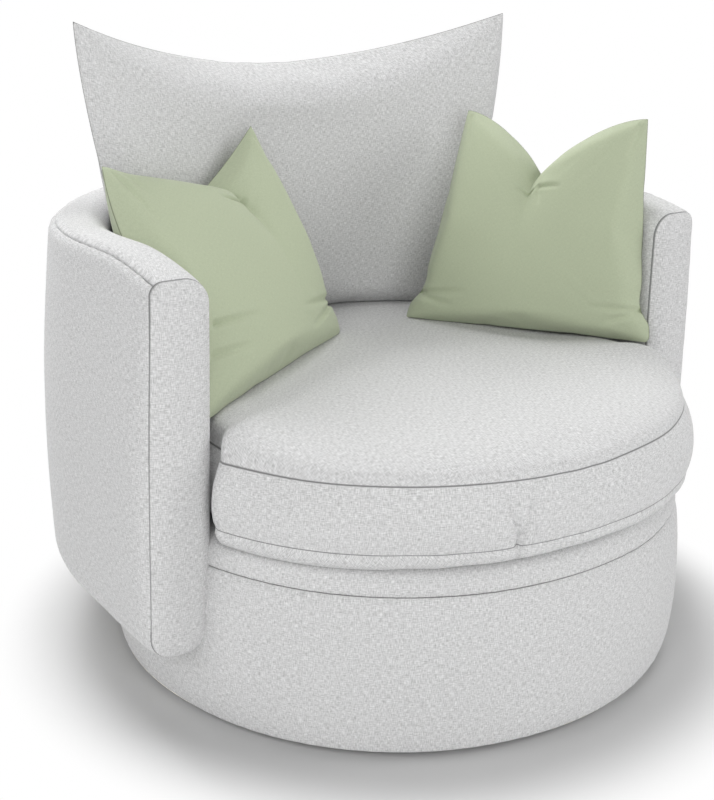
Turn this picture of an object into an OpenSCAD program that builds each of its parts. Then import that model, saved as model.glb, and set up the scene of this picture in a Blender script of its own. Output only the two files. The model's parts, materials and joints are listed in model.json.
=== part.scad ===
// Round swivel armchair, in millimetres.
// A drum turns on a ball-race swivel. A U-shaped shell, both arms and the low back, is bolted to it.
// A loose seat cushion, a loose back pillow and two scatter cushions lie inside the shell.
// The front is -Y, +Z is up, and the origin is on the floor under the swivel axis.

/* [Swivel] */
// Thickness of the felt under the plinth
felt_t = 3; // [2:0.5:5]
// Thickness of the plinth disc
plinth_t = 18; // [15:1:25]
// Radius of the plinth disc
plinth_r = 325; // [260:5:380]
// Radius of the circle that the balls run on
ball_circle_r = 130; // [110:5:150]
// Radius of one ball
ball_r = 5; // [4:0.25:5.5]
// Number of balls
ball_count = 24; // [16:1:30]
// Width of each race ring
race_w = 44; // [36:1:56]
// Height of each race ring
race_h = 7; // [6.5:0.5:10]
// Space between the two race rings
race_gap = 2; // [1.6:0.1:3]
// Thickness of the ball cage
cage_t = 1.2; // [0.8:0.1:1.3]
// Width of the ball cage
cage_w = 18; // [14:1:24]
// Running clearance of balls in their grooves and of the bolt in its bush
run_gap = 0.05; // [0.03:0.01:0.1]
// Radius of the king bolt
king_r = 8; // [6:0.5:10]
// Wall of the bush round the king bolt
bush_wall = 6; // [4:0.5:8]
// Number of screws or bolts that hold each race ring
race_screw_count = 8; // [6:1:12]
// Radius of those screws and bolts
race_screw_r = 2.5; // [2:0.25:3.5]

/* [Drum] */
// How far the hem of the drum reaches out past the inside of the arms
drum_reach = 40; // [36:1:50]
// How much narrower the drum is at its seam
drum_draw = 5; // [0:1:8]
// How far the side of the drum swells between hem and seam
drum_belly = 8; // [2:1:12]
// Height of the hem above the floor
hem_z = 12; // [9:1:16]
// Height of the seam round the top of the drum
drum_seam_z = 266; // [240:1:285]
// Height of the deck that the seat cushion lies on
deck_z = 314; // [300:1:330]
// Thickness of the drum's wadding at its seam
drum_pad_t = 8; // [6:1:14]
// Radial width of the wooden top ring
top_ring_w = 59; // [45:1:80]
// Number of uprights in the front, and again in the back
post_count = 4; // [3:1:4]

/* [Arm and back shell] */
// Half of the clear width between the tops of the arms
arm_in = 440; // [430:1:450]
// How far the inside of the shell leans out from its top to its foot
wall_lean = 10; // [0:1:14]
// Thickness of the shell at its top
wall_top = 93; // [88:1:110]
// Thickness of the shell near its foot
wall_foot = 100; // [95:1:120]
// How far the outside of the shell swells between its foot and its top
wall_belly = 9; // [0:1:14]
// Height of the top of the arms
arm_h = 706; // [660:1:740]
// Height of the underside of the shell
shell_z = 128; // [110:1:145]
// How far the arms reach in front of the swivel axis
arm_reach = 154; // [130:1:175]
// How far the centre of the round back lies behind the swivel axis
back_centre = 85; // [70:1:100]
// Padding on the inside and top of the shell
in_pad_t = 18; // [12:1:24]
// Padding on the outside of the shell
out_pad_t = 10; // [6:1:14]
// Radius of the inner top edge
top_in_r = 38; // [34:1:48]
// Radius of the outer top edge
top_out_r = 22; // [20:1:28]
// Radius of the inner bottom edge
foot_in_r = 40; // [34:1:48]
// Radius of the outer bottom edge
foot_out_r = 42; // [36:1:55]
// Thickness of the edge of an arm facing
facing_t = 6; // [4:1:10]
// How far the middle of an arm facing swells forward
facing_crown = 8; // [4:1:12]

/* [Seat cushion] */
// Radius of the round front of the seat cushion
seat_r = 502; // [490:1:515]
// Height of the border between the cushion's two seams
seat_border_h = 97; // [80:1:110]
// Rise of the bottom seam above the deck
seat_lift = 22; // [15:1:35]
// Rise of the crown above the top seam
seat_crown = 41; // [25:1:50]
// How far the border draws in to the top seam
seat_draw = 21; // [12:1:26]
// How far the border draws in to the bottom seam
seat_under = 10; // [6:1:16]

/* [Back pillow] */
// Space between the foot of the pillow and each arm
pillow_room = 74; // [70:1:100]
// How much further out than its foot each top corner is
pillow_splay = 68; // [40:1:72]
// Height of the pillow in its middle
pillow_h = 470; // [430:1:500]
// How far the top corners stand above the middle
pillow_ear = 74; // [40:1:90]
// Thickness of the pillow
pillow_t = 205; // [170:1:215]

/* [Scatter cushions] */
// Height of a scatter cushion
scatter_h = 376; // [350:1:400]
// Thickness of a scatter cushion
scatter_t = 130; // [100:1:150]
// Depth of the chop in the top edge
chop = 100; // [60:1:120]

/* [Materials and clearances] */
// Thickness of the covering cloth
cover_t = 2; // [1.5:0.25:3]
// Thickness of the curved hardboard
board_t = 3; // [2:0.5:4]
// Thickness of the plywood parts
ply_t = 18; // [15:1:22]
// Clearance between cushions and what they lie on
lay_gap = 0.3; // [0.2:0.05:0.5]
// Clearance between the drum and the shell
fit_gap = 0.3; // [0.2:0.05:0.5]
// Radius of the spring wire
wire_r = 1.9; // [1.5:0.1:2.2]
// Number of zig-zag springs
spring_count = 5; // [3:2:5]
// Distance between neighbouring springs
spring_pitch = 105; // [90:1:120]
// Width of a zig-zag spring
spring_w = 54; // [46:1:60]
// Distance between neighbouring cross wires of a spring
wire_pitch = 34; // [28:1:38]

/* [Hidden] */
$fn = 96;

// Colours
grey_cloth = [0.78, 0.78, 0.78];
green_cloth = [0.69, 0.73, 0.61];
foam = [0.93, 0.90, 0.80];
plywood = [0.80, 0.66, 0.46];
softwood = [0.86, 0.74, 0.53];
hardboard = [0.46, 0.34, 0.22];
steel = [0.62, 0.63, 0.65];
nylon = [0.90, 0.90, 0.86];
black_cloth = [0.12, 0.12, 0.12];

// Heights in the swivel
plinth_z = felt_t;
race_z = plinth_z + plinth_t;
ball_z = race_z + race_h + race_gap / 2;
upper_race_z = race_z + race_h + race_gap;
floor_board_z = upper_race_z + race_h;
screw_circle_r = ball_circle_r - race_w / 2 + 7;
king_head_r = king_r * 2.2;
king_head_h = 6;
bush_flange_t = 3;
bush_flange_r = king_r + bush_wall + 8;
king_washer_t = 3;
king_nut_h = king_r * 1.6;
king_nut_af = king_r * 3;
floor_board_top = floor_board_z + ply_t;
washer_z = floor_board_top + bush_flange_t + lay_gap;
king_top = washer_z + king_washer_t + king_nut_h + 6;
bolt_head_h = 4;

// Heights and sizes in the seat platform
clip_t = 1.5;
clip_l = 30;
cloth_t = 1.5;
spring_inset = 14;
spring_z = drum_seam_z + clip_t + wire_r;
rebate_z = spring_z + wire_r + clip_t;

// Radii and heights in the drum
drum_r = arm_in + drum_reach;
seam_r = drum_r - drum_draw;
frame_r = seam_r - cover_t - drum_pad_t - board_t;
hem_turn = 40;
hem_ring_z = hem_z + cover_t;
hem_ring_w = 34;
top_ring_z = drum_seam_z - ply_t;
top_ring_in = frame_r - top_ring_w;
post_w = 44;
post_d = 24;
post_spread = 40;
roll_r = 40;
rebate_r = top_ring_in + spring_inset + clip_l;
side_panel_t = 22;
side_panel_half = sqrt(pow(frame_r, 2) - pow(arm_in + wall_lean, 2)) - 1;
side_panel_lean = wall_lean * (top_ring_z - shell_z) / (arm_h - shell_z) / (top_ring_z - floor_board_top);

// Places in the shell
wall_mid = arm_in + wall_top / 2;
foot_in = arm_in + wall_lean;
lean_in = atan(wall_lean / (arm_h - shell_z));
wall_tilt = atan((foot_in + wall_foot - arm_in - wall_top) / (arm_h - shell_z - foot_out_r - top_out_r));
core_in = cover_t + in_pad_t;
core_out = cover_t + out_pad_t;
core_z = shell_z + core_out + board_t;
core_top = arm_h - core_in - board_t;
seam_drop = 80;
front_board_t = 15;
facing_front = arm_reach + facing_t + facing_crown;
rib_window_w = 30;
rib_margin = 80;
rib_ease = 0.25;

// Bolts between the drum and the arms, as far apart as the side panels and the arms allow
fixing_pitch = min(0.78 * side_panel_half, 0.52 * arm_reach);
fixing_ys = [for (i = [-1:1]) i * fixing_pitch];
rib_ys = [for (i = [-1.5:0.5]) i * fixing_pitch];
block_w = 0.8 * fixing_pitch - ply_t - 2;
block_h = 50;
block_z = shell_z + 60;
fixing_z = block_z + block_h / 2;
fixing_x = side_panel_face(fixing_z) - side_panel_t;
fixing_r = 4;
fixing_head_r = 9;
fixing_head_t = 5;
fixing_in = 36;
fixing_l = side_panel_t + core_in + board_t + fixing_in;

// Places in the seat
seat_z = deck_z + lay_gap;
seat_fit = 0.5;
seat_side = arm_in - seat_fit;
seat_seam_low = seat_z + seat_lift;
seat_seam_high = seat_seam_low + seat_border_h;
seat_top = seat_seam_high + seat_crown;
lip_gap = 2;
lip_y = facing_front + lip_gap;
lip_round = 20;

// A point on the arc of radius r about c, for each of n equal steps from angle a to angle b
function arc(c, r, a, b, n) = [
  for (i = [0:n]) let (w = a + (b - a) * i / n) [c[0] + r * cos(w), c[1] + r * sin(w)]
];

// Swivel

// Holes or shanks of the ring of fasteners, from height z for length h
module race_fasteners(r, z, h) {
  for (i = [0:race_screw_count - 1])
    rotate([0, 0, (i + 0.5) * 360 / race_screw_count])
      translate([screw_circle_r, 0, z]) cylinder(r = r, h = h);
}

module floor_felt() {
  color(black_cloth) cylinder(r = plinth_r - 5, h = felt_t, $fn = 128);
}

module plinth_disc() {
  color(plywood) difference() {
    translate([0, 0, plinth_z]) cylinder(r = plinth_r, h = plinth_t, $fn = 128);
    translate([0, 0, plinth_z]) cylinder(r = king_head_r, h = king_head_h);
    translate([0, 0, plinth_z]) cylinder(r = king_r, h = plinth_t + 1);
    race_fasteners(race_screw_r, race_z - 12, 13);
  }
}

module race_ring(z) {
  difference() {
    translate([0, 0, z]) difference() {
      cylinder(r = ball_circle_r + race_w / 2, h = race_h);
      translate([0, 0, -1]) cylinder(r = ball_circle_r - race_w / 2, h = race_h + 2);
    }
    translate([0, 0, ball_z]) rotate_extrude() translate([ball_circle_r, 0]) circle(r = ball_r + run_gap);
    race_fasteners(race_screw_r, z - 1, race_h + 2);
  }
}

module lower_race() { color(steel) race_ring(race_z); }

module upper_race() { color(steel) race_ring(upper_race_z); }

module lower_race_screws() {
  color(steel) race_fasteners(race_screw_r, race_z - 12, race_h + 12);
}

module upper_race_bolts() {
  color(steel) {
    race_fasteners(race_screw_r, upper_race_z, race_h + ply_t);
    race_fasteners(race_screw_r * 2, floor_board_top, bolt_head_h);
  }
}

module king_bolt() {
  color(steel) {
    translate([0, 0, plinth_z]) cylinder(r = king_head_r, h = king_head_h);
    translate([0, 0, plinth_z]) cylinder(r = king_r, h = king_top - plinth_z);
  }
}

module king_washer() {
  color(steel) translate([0, 0, washer_z]) difference() {
    cylinder(r = bush_flange_r - 2, h = king_washer_t);
    translate([0, 0, -1]) cylinder(r = king_r, h = king_washer_t + 2);
  }
}

module king_nut() {
  color(steel) translate([0, 0, washer_z + king_washer_t]) difference() {
    cylinder(r = king_nut_af / 2 / cos(30), h = king_nut_h, $fn = 6);
    translate([0, 0, -1]) cylinder(r = king_r, h = king_nut_h + 2);
  }
}

module swivel_balls() {
  color(steel) for (i = [0:ball_count - 1])
    rotate([0, 0, i * 360 / ball_count]) translate([ball_circle_r, 0, ball_z]) sphere(r = ball_r);
}

module ball_cage() {
  color(nylon) translate([0, 0, ball_z - cage_t / 2]) difference() {
    cylinder(r = ball_circle_r + cage_w / 2, h = cage_t);
    translate([0, 0, -1]) cylinder(r = ball_circle_r - cage_w / 2, h = cage_t + 2);
    for (i = [0:ball_count - 1])
      rotate([0, 0, i * 360 / ball_count]) translate([ball_circle_r, 0, -1])
        cylinder(r = ball_r + 2 * run_gap, h = cage_t + 2, $fn = 32);
  }
}

module king_bush() {
  color(nylon) difference() {
    union() {
      translate([0, 0, floor_board_z]) cylinder(r = king_r + bush_wall, h = ply_t);
      translate([0, 0, floor_board_top]) cylinder(r = bush_flange_r, h = bush_flange_t);
    }
    translate([0, 0, floor_board_z - 1]) cylinder(r = king_r + run_gap, h = ply_t + bush_flange_t + 2);
  }
}

// Drum

module ring(r_out, r_in, z, h) {
  translate([0, 0, z]) difference() {
    cylinder(r = r_out, h = h, $fn = 128);
    translate([0, 0, -1]) cylinder(r = r_in, h = h + 2, $fn = 128);
  }
}

// The swelling side of the drum, from hem to seam, moved inwards by d
function drum_side(d) = [
  for (i = [0:8]) let (t = i / 8)
    [drum_r - drum_draw * t + drum_belly * sqrt(sin(180 * t)) - d, hem_z + (drum_seam_z - hem_z) * t]
];

// The space that the arms take from the drum
module arm_space(gap) {
  for (side = [0, 1]) mirror([side, 0, 0])
    translate([0, back_centre, 0]) rotate([90, 0, 0])
      linear_extrude(height = back_centre + facing_front + gap + 1) polygon(wall_outline(-gap));
  u_back() polygon(wall_outline(-gap));
}

module drum_floor_board() {
  color(plywood) difference() {
    translate([0, 0, floor_board_z]) cylinder(r = frame_r, h = ply_t, $fn = 128);
    translate([0, 0, floor_board_z - 1]) cylinder(r = king_r + bush_wall, h = ply_t + 2);
    race_fasteners(race_screw_r, floor_board_z - 1, ply_t + 2);
  }
}

module hem_ring() {
  color(plywood) ring(frame_r, frame_r - hem_ring_w, hem_ring_z, floor_board_z - hem_ring_z);
}

module drum_posts() {
  color(softwood) for (face = [0, 180]) for (i = [0:post_count - 1])
    rotate([0, 0, face + 90 + (i - (post_count - 1) / 2) * post_spread])
      translate([frame_r - 2 - post_d, -post_w / 2, floor_board_top])
        cube([post_d, post_w, top_ring_z - floor_board_top]);
}

// Panels that lean against the insides of the arms
function side_panel_face(z) = foot_in - fit_gap - side_panel_lean * (z - floor_board_top);

module side_panels() {
  low = side_panel_face(floor_board_top);
  high = side_panel_face(top_ring_z);
  color(plywood) for (side = [0, 1]) mirror([side, 0, 0]) difference() {
    translate([0, side_panel_half, 0]) rotate([90, 0, 0]) linear_extrude(height = 2 * side_panel_half)
      difference() {
        polygon([[low, floor_board_top], [high, top_ring_z], [high - side_panel_t, top_ring_z],
          [low - side_panel_t, floor_board_top]]);
        polygon(wall_outline(-fit_gap));
      }
    fixing_holes();
  }
}

module drum_top_ring() {
  color(plywood) difference() {
    ring(frame_r, top_ring_in, top_ring_z, ply_t);
    arm_space(fit_gap);
  }
}

module drum_board() {
  color(hardboard) difference() {
    ring(frame_r + board_t, frame_r, hem_ring_z, drum_seam_z - hem_ring_z);
    arm_space(fit_gap);
  }
}

module drum_padding() {
  color(foam) difference() {
    rotate_extrude($fn = 128) difference() {
      polygon(concat([[frame_r + board_t, hem_z]], drum_side(cover_t), [[frame_r + board_t, drum_seam_z]]));
      square([drum_r + drum_belly, hem_ring_z]);
    }
    arm_space(fit_gap);
  }
}

module drum_cover() {
  color(grey_cloth) difference() {
    rotate_extrude($fn = 128) {
      polygon(concat(drum_side(0), [for (i = [8:-1:0]) drum_side(cover_t)[i]]));
      translate([drum_r - hem_turn, hem_z]) square([hem_turn - cover_t / 2, cover_t]);
    }
    arm_space(fit_gap);
  }
}

module dust_cover() {
  color(black_cloth) ring(frame_r - hem_ring_w, plinth_r + 20, floor_board_z - 1, 1);
}

// Seat platform

// Half the length of a spring at distance x from the middle
function spring_reach(x) = sqrt(pow(top_ring_in + spring_inset, 2) - x * x);

// Number of half rings in a spring of that length, always odd so that both ends are alike
function spring_bends(reach) = 2 * round(reach / wire_pitch) - 1;

// Half the straight length of a cross wire, where the bends have radius r
function cross_half(r) = spring_w / 2 - r - wire_r;

// The middle line of a spring of that half length, as [x, y, heading]: half rings on alternate
// sides, joined by straight cross wires
function spring_line(reach) = let (bends = spring_bends(reach), r = reach / bends, half = cross_half(r)) concat(
  [[0, -reach, 180]],
  [for (i = [0:bends - 1]) let (side = (i % 2 == 0) ? -1 : 1) for (k = [0:3]) let (w = 60 * k)
    [side * (half + r * sin(w)), (2 * i + 1) * r - reach - r * cos(w), side > 0 ? w : 180 - w]],
  [[0, reach, 0]]);

// One zig-zag spring: a five-sided wire swept along its middle line
module zigzag(reach) {
  line = spring_line(reach);
  sides = 5;
  last = (len(line) - 1) * sides;
  points = [for (p = line) for (k = [0:sides - 1]) let (w = 360 * k / sides)
    [p[0] - wire_r * cos(w) * sin(p[2]), p[1] + wire_r * cos(w) * cos(p[2]), wire_r * sin(w)]];
  polyhedron(points, concat(
    [for (i = [0:len(line) - 2]) for (k = [0:sides - 1]) let (a = i * sides, l = (k + 1) % sides)
      each [[a + k, a + sides + k, a + sides + l], [a + k, a + sides + l, a + l]]],
    [[for (k = [0:sides - 1]) k]], [[for (k = [sides - 1:-1:0]) last + k]]));
}

module zigzag_springs() {
  color(steel) for (i = [0:spring_count - 1]) let (x = (i - (spring_count - 1) / 2) * spring_pitch)
    translate([x, 0, spring_z]) zigzag(spring_reach(x));
}

// A clip nailed to the top ring, with an eye round the end of a spring
module spring_clip(reach) {
  w = 0.8 * cross_half(reach / spring_bends(reach));
  translate([-w, reach, 0]) rotate([90, 0, 90]) linear_extrude(height = w) difference() {
    union() {
      translate([-wire_r - clip_t, -wire_r - clip_t]) square([clip_l, clip_t]);
      circle(r = wire_r + clip_t, $fn = 24);
    }
    circle(r = wire_r, $fn = 24);
  }
}

module spring_clips() {
  color(steel) for (i = [0:spring_count - 1]) let (x = (i - (spring_count - 1) / 2) * spring_pitch)
    for (end = [0, 1]) mirror([0, end, 0]) translate([x, 0, spring_z]) spring_clip(spring_reach(x));
}

module deck_cloth() {
  color(black_cloth) translate([0, 0, spring_z + wire_r])
    cylinder(r = top_ring_in, h = cloth_t, $fn = 128);
}

module deck_pad() {
  pad_z = spring_z + wire_r + cloth_t;
  color(foam) translate([0, 0, pad_z]) cylinder(r = top_ring_in, h = deck_z - pad_z, $fn = 128);
}

// Outer half of the roll round the deck, moved inwards by d
function roll_side(d) = let (w = asin((drum_seam_z - deck_z + roll_r) / roll_r))
  arc([seam_r - roll_r, deck_z - roll_r], roll_r - d, w, 90, 8);

module border_roll() {
  color(foam) difference() {
    rotate_extrude($fn = 128)
      polygon(concat([[rebate_r, drum_seam_z]], roll_side(cover_t),
        [[top_ring_in, deck_z - cover_t], [top_ring_in, rebate_z], [rebate_r, rebate_z]]));
    arm_space(fit_gap);
  }
}

module border_cover() {
  color(grey_cloth) difference() {
    rotate_extrude($fn = 128)
      polygon(concat(
        roll_side(0), [[top_ring_in, deck_z], [top_ring_in, deck_z - cover_t]],
        [for (i = [8:-1:0]) roll_side(cover_t)[i]]));
    arm_space(fit_gap);
  }
}

// Shell

// Outline of the wall's section, moved inwards by d, in distance from the middle plane and height
function wall_outline(d) = let (
  foot = arc([foot_in + wall_foot - foot_out_r, shell_z + foot_out_r], foot_out_r - d, 270, 360 + wall_tilt, 6),
  top = arc([arm_in + wall_top - top_out_r, arm_h - top_out_r], top_out_r - d, wall_tilt, 90, 4)
) concat(
  arc([foot_in + foot_in_r, shell_z + foot_in_r], foot_in_r - d, 180 + lean_in, 270, 5),
  foot,
  [for (i = [1:5]) let (t = i / 6) foot[6] * (1 - t) + top[0] * t + [wall_belly * sin(180 * t), 0]],
  top,
  arc([arm_in + top_in_r, arm_h - top_in_r], top_in_r - d, 90, 180 + lean_in, 6));

// Outline of the wooden core of the wall, moved inwards by d
function core_outline(d) = concat(
  arc([foot_in + core_in + 20, shell_z + core_out + 20], 20 - d, 180 + lean_in, 270, 2),
  arc([foot_in + wall_foot - foot_out_r, shell_z + foot_out_r], foot_out_r - core_out - d, 270, 360 + wall_tilt, 5),
  arc([arm_in + wall_top - core_out - 10, arm_h - core_in - 10], 10 - d, wall_tilt, 90, 2),
  arc([arm_in + core_in + 18, arm_h - core_in - 18], 18 - d, 90, 180 + lean_in, 2));

// The inner and top side of the wall, up to the seam on the outer top edge
module inner_side() {
  rise = seam_drop - top_out_r * 0.3;
  run = wall_top / 2 - top_out_r * 0.3;
  polygon([[0, 0], [wall_mid, 0], [wall_mid, arm_h - seam_drop],
    [wall_mid + 2 * run, arm_h - seam_drop + 2 * rise], [0, arm_h + seam_drop]]);
}

// The round back: half a turn of the section about the centre of the back
module u_back() {
  translate([0, back_centre, 0]) rotate_extrude(angle = 180, $fn = 128) children();
}

// The section swept along both arms and round the back
module u_sweep(front = arm_reach) {
  u_back() children();
  for (side = [0, 1]) mirror([side, 0, 0])
    translate([0, back_centre, 0]) rotate([90, 0, 0])
      linear_extrude(height = back_centre + front) children();
}

module shell_inner_cover() {
  color(grey_cloth) difference() {
    u_sweep() intersection() {
      inner_side();
      difference() {
        polygon(wall_outline(0));
        polygon(wall_outline(cover_t));
      }
    }
    for (side = [0, 1]) mirror([side, 0, 0]) fixing_holes();
  }
}

module shell_outer_cover() {
  color(grey_cloth) u_sweep() difference() {
    polygon(wall_outline(0));
    polygon(wall_outline(cover_t));
    inner_side();
  }
}

module shell_inner_padding() {
  color(foam) difference() {
    u_sweep() intersection() {
      inner_side();
      difference() {
        polygon(wall_outline(cover_t));
        polygon(core_outline(0));
      }
    }
    for (side = [0, 1]) mirror([side, 0, 0]) fixing_holes();
  }
}

module shell_outer_padding() {
  color(foam) u_sweep() difference() {
    polygon(wall_outline(cover_t));
    polygon(core_outline(0));
    inner_side();
  }
}

module shell_inner_board() {
  color(hardboard) difference() {
    u_sweep() intersection() {
      inner_side();
      difference() {
        polygon(core_outline(0));
        polygon(core_outline(board_t));
      }
    }
    for (side = [0, 1]) mirror([side, 0, 0]) fixing_holes();
  }
}

module shell_outer_board() {
  color(hardboard) u_sweep() difference() {
    polygon(core_outline(0));
    polygon(core_outline(board_t));
    inner_side();
  }
}

// The part of the core between two heights
module core_band(z0, z1) {
  intersection() {
    polygon(core_outline(board_t));
    translate([0, z0]) square([foot_in + wall_foot, z1 - z0]);
  }
}

module shell_sole() {
  color(plywood) u_sweep(arm_reach - front_board_t) core_band(core_z, core_z + ply_t);
}

module shell_top_rail() {
  color(plywood) u_sweep(arm_reach - front_board_t) core_band(core_top - ply_t, core_top);
}

// Outline of a rib, with a long round-ended window
module rib_outline() {
  window_h = core_top - core_z - 2 * (ply_t + rib_margin);
  difference() {
    intersection() {
      core_band(core_z + ply_t, core_top - ply_t);
      polygon(core_outline(board_t + rib_ease));
    }
    translate([wall_mid, (core_z + core_top - window_h) / 2]) {
      translate([-rib_window_w / 2, 0]) square([rib_window_w, window_h]);
      circle(r = rib_window_w / 2);
      translate([0, window_h]) circle(r = rib_window_w / 2);
    }
  }
}

module shell_ribs() {
  color(plywood) {
    for (side = [0, 1]) mirror([side, 0, 0]) for (y = rib_ys)
      translate([0, y + ply_t / 2, 0]) rotate([90, 0, 0]) linear_extrude(height = ply_t) rib_outline();
    for (a = [5:34:175]) translate([0, back_centre, 0]) rotate([0, 0, a])
      translate([0, ply_t / 2, 0]) rotate([90, 0, 0]) linear_extrude(height = ply_t) rib_outline();
  }
}

module arm_front_boards() {
  color(plywood) for (side = [0, 1]) mirror([side, 0, 0])
    translate([0, front_board_t - arm_reach, 0]) rotate([90, 0, 0])
      linear_extrude(height = front_board_t) polygon(core_outline(board_t));
}

// One arm facing: rings that run from the seam round its edge to the middle of a crowned panel
module arm_facing() {
  steps = [0, 0.05, 0.2, 0.5, 0.9];
  edge = wall_outline(0);
  n = len(edge);
  middle = [for (p = edge) [arm_in + wall_top * 0.53, min(max(p[1], shell_z + 60), arm_h - 50)]];
  level = concat([0], [for (t = steps) facing_t + facing_crown * sin(90 * min(1, t * 1.4))]);
  points = [
    for (k = [0:len(level) - 1]) let (t = steps[max(k - 1, 0)])
      for (i = [0:n - 1]) [
        edge[i][0] + (middle[i][0] - edge[i][0]) * t,
        -arm_reach - level[k],
        edge[i][1] + (middle[i][1] - edge[i][1]) * t
      ]
  ];
  last = (len(level) - 1) * n;
  sides = [
    for (k = [0:len(level) - 2]) for (i = [0:n - 1]) let (j = (i + 1) % n)
      each [[k * n + i, (k + 1) * n + j, k * n + j], [k * n + i, (k + 1) * n + i, (k + 1) * n + j]]
  ];
  polyhedron(points, concat(sides, [[for (i = [0:n - 1]) i]], [[for (i = [n - 1:-1:0]) last + i]]));
}

module arm_facing_right() { color(grey_cloth) arm_facing(); }

module arm_facing_left() { color(grey_cloth) mirror([1, 0, 0]) arm_facing(); }

// Bolts from the drum's side panels into blocks in the arms
module fixing_holes() {
  for (y = fixing_ys) translate([fixing_x - 2, y, fixing_z]) rotate([0, 90, 0])
    cylinder(r = fixing_r, h = fixing_l + 2, $fn = 32);
}

module fixing_blocks() {
  color(softwood) for (side = [0, 1]) mirror([side, 0, 0]) difference() {
    for (y = fixing_ys) translate([0, y + block_w / 2, 0]) rotate([90, 0, 0])
      linear_extrude(height = block_w) intersection() {
        core_band(block_z, block_z + block_h);
        translate([0, block_z]) square([fixing_x + fixing_l + 6, block_h]);
      }
    fixing_holes();
  }
}

module shell_bolts() {
  color(steel) for (side = [0, 1]) mirror([side, 0, 0]) for (y = fixing_ys)
    translate([fixing_x, y, fixing_z]) rotate([0, 90, 0]) {
      translate([0, 0, -fixing_head_t]) cylinder(r = fixing_r, h = fixing_l + fixing_head_t, $fn = 32);
      translate([0, 0, -fixing_head_t - fixing_head_r * side_panel_lean])
        cylinder(r = fixing_head_r, h = fixing_head_t, $fn = 32);
    }
}

// Cushions

// Plan of the seat cushion: a round lip in front of the arms, then the inside of the shell
seat_plan = let (a = asin((lip_y + lip_round) / seat_r)) concat(
  arc([0, 0], seat_r, a - 180, -a, 30),
  [for (i = [0:4]) [seat_side, -lip_y + (lip_y + back_centre) * i / 5]],
  arc([0, back_centre], seat_side, 0, 180, 24),
  [for (i = [4:-1:0]) [-seat_side, -lip_y + (lip_y + back_centre) * i / 5]]);

// Levels of the seat cushion, each as [distance in from the plan, height]
seat_levels = concat(
  [[30, seat_z], [16, seat_z + seat_lift * 0.2], [9, seat_z + seat_lift * 0.55], [seat_under, seat_seam_low]],
  [for (i = [1:3]) let (t = i / 4)
    [(1 - t) * seat_under + t * seat_draw - 12 * sin(180 * t), seat_seam_low + seat_border_h * t]],
  [[seat_draw, seat_seam_high]],
  [for (w = [8, 18, 32, 48, 66, 80])
    [seat_draw + (seat_side - seat_draw) * (1 - cos(w)), seat_seam_high + seat_crown * pow(sin(w), 0.4)]]);

// Height of the crown at a place behind the front of the arms
function seat_height(x, y) = let (
  inset = seat_side - norm([x, max(y - back_centre, 0)]),
  c = min(1 - (inset - seat_draw) / (seat_side - seat_draw), 1)
) seat_seam_high + seat_crown * pow(1 - c * c, 0.2);

module seat_cushion() {
  n = len(seat_plan);
  m = len(seat_levels);
  points = concat(
    [for (l = seat_levels) for (p = seat_plan) let (s = 1 - l[0] / norm(p)) [p[0] * s, p[1] * s, l[1]]],
    [[0, 0, seat_z], [0, 0, seat_top]]);
  color(grey_cloth) polyhedron(points, concat(
    [for (k = [0:m - 2]) for (i = [0:n - 1]) let (j = (i + 1) % n)
      each [[k * n + i, (k + 1) * n + j, k * n + j], [k * n + i, (k + 1) * n + i, (k + 1) * n + j]]],
    [for (i = [0:n - 1]) [i, (i + 1) % n, m * n]],
    [for (i = [0:n - 1]) [(m - 1) * n + i, m * n + 1, (m - 1) * n + (i + 1) % n]]));
}

// A pillow form: point(u, v, side) gives its front (side 1) and back (side -1), which meet at the seam
module pillow_form(point, n) {
  at = [for (i = [0:n]) -cos(180 * i / n)];
  function front(i, j) = i * (n + 1) + j;
  function back(i, j) = (i == 0 || j == 0 || i == n || j == n) ? front(i, j)
    : (n + 1) * (n + 1) + (i - 1) * (n - 1) + j - 1;
  function quad(a, b, c, d, split) = split ? [[a, b, c], [a, c, d]] : [[a, b, d], [b, c, d]];
  points = concat(
    [for (i = [0:n]) for (j = [0:n]) point(at[i], at[j], 1)],
    [for (i = [1:n - 1]) for (j = [1:n - 1]) point(at[i], at[j], -1)]);
  cells = [for (i = [0:n - 1]) for (j = [0:n - 1]) [i, j, (i < n / 2) == (j < n / 2)]];
  polyhedron(points, [
    for (c = cells) let (i = c[0], j = c[1]) each concat(
      quad(front(i, j), front(i, j + 1), front(i + 1, j + 1), front(i + 1, j), c[2]),
      [for (f = quad(back(i, j), back(i, j + 1), back(i + 1, j + 1), back(i + 1, j), c[2])) [f[2], f[1], f[0]]])
  ]);
}

// Back pillow: a bent pillow that stands on the seat and follows the inside of the shell
pillow_back_y = back_centre + arm_in - 1;
pillow_half_w = arm_in - pillow_room;
pillow_bend_r = arm_in - 17;
function pillow_mid_y(x, t) =
  pillow_back_y - pillow_t / 2 - 22 * pow(t, 3) - x * x / (2 * (pillow_bend_r + 400 * t * t));
function back_pillow_point(u, v, side) = let (
  t = (v + 1) / 2,
  x = u * (pillow_half_w + pillow_splay * t * t * (3 - 2 * t)),
  foot_x = u * pillow_half_w,
  low = seat_height(foot_x, pillow_mid_y(foot_x, 0)) + lay_gap,
  high = seat_top + pillow_h + pillow_ear * u * u,
  swell = pow(1 - pow(abs(u), 2.6), 0.55) * (v < 0 ? pow(1 - pow(-v, 7), 0.5) : pow(1 - pow(v, 2.4), 0.6))
) [x, pillow_mid_y(x, t) - side * swell * pillow_t / 2, low * (1 - t) + high * t];

module back_pillow() {
  color(grey_cloth) pillow_form(function (u, v, side) back_pillow_point(u, v, side), 24);
}

// Where the middle of a scatter cushion that leans on the pillow lies
scatter_back_y = pillow_back_y - pillow_t - scatter_t / 2;

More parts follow.
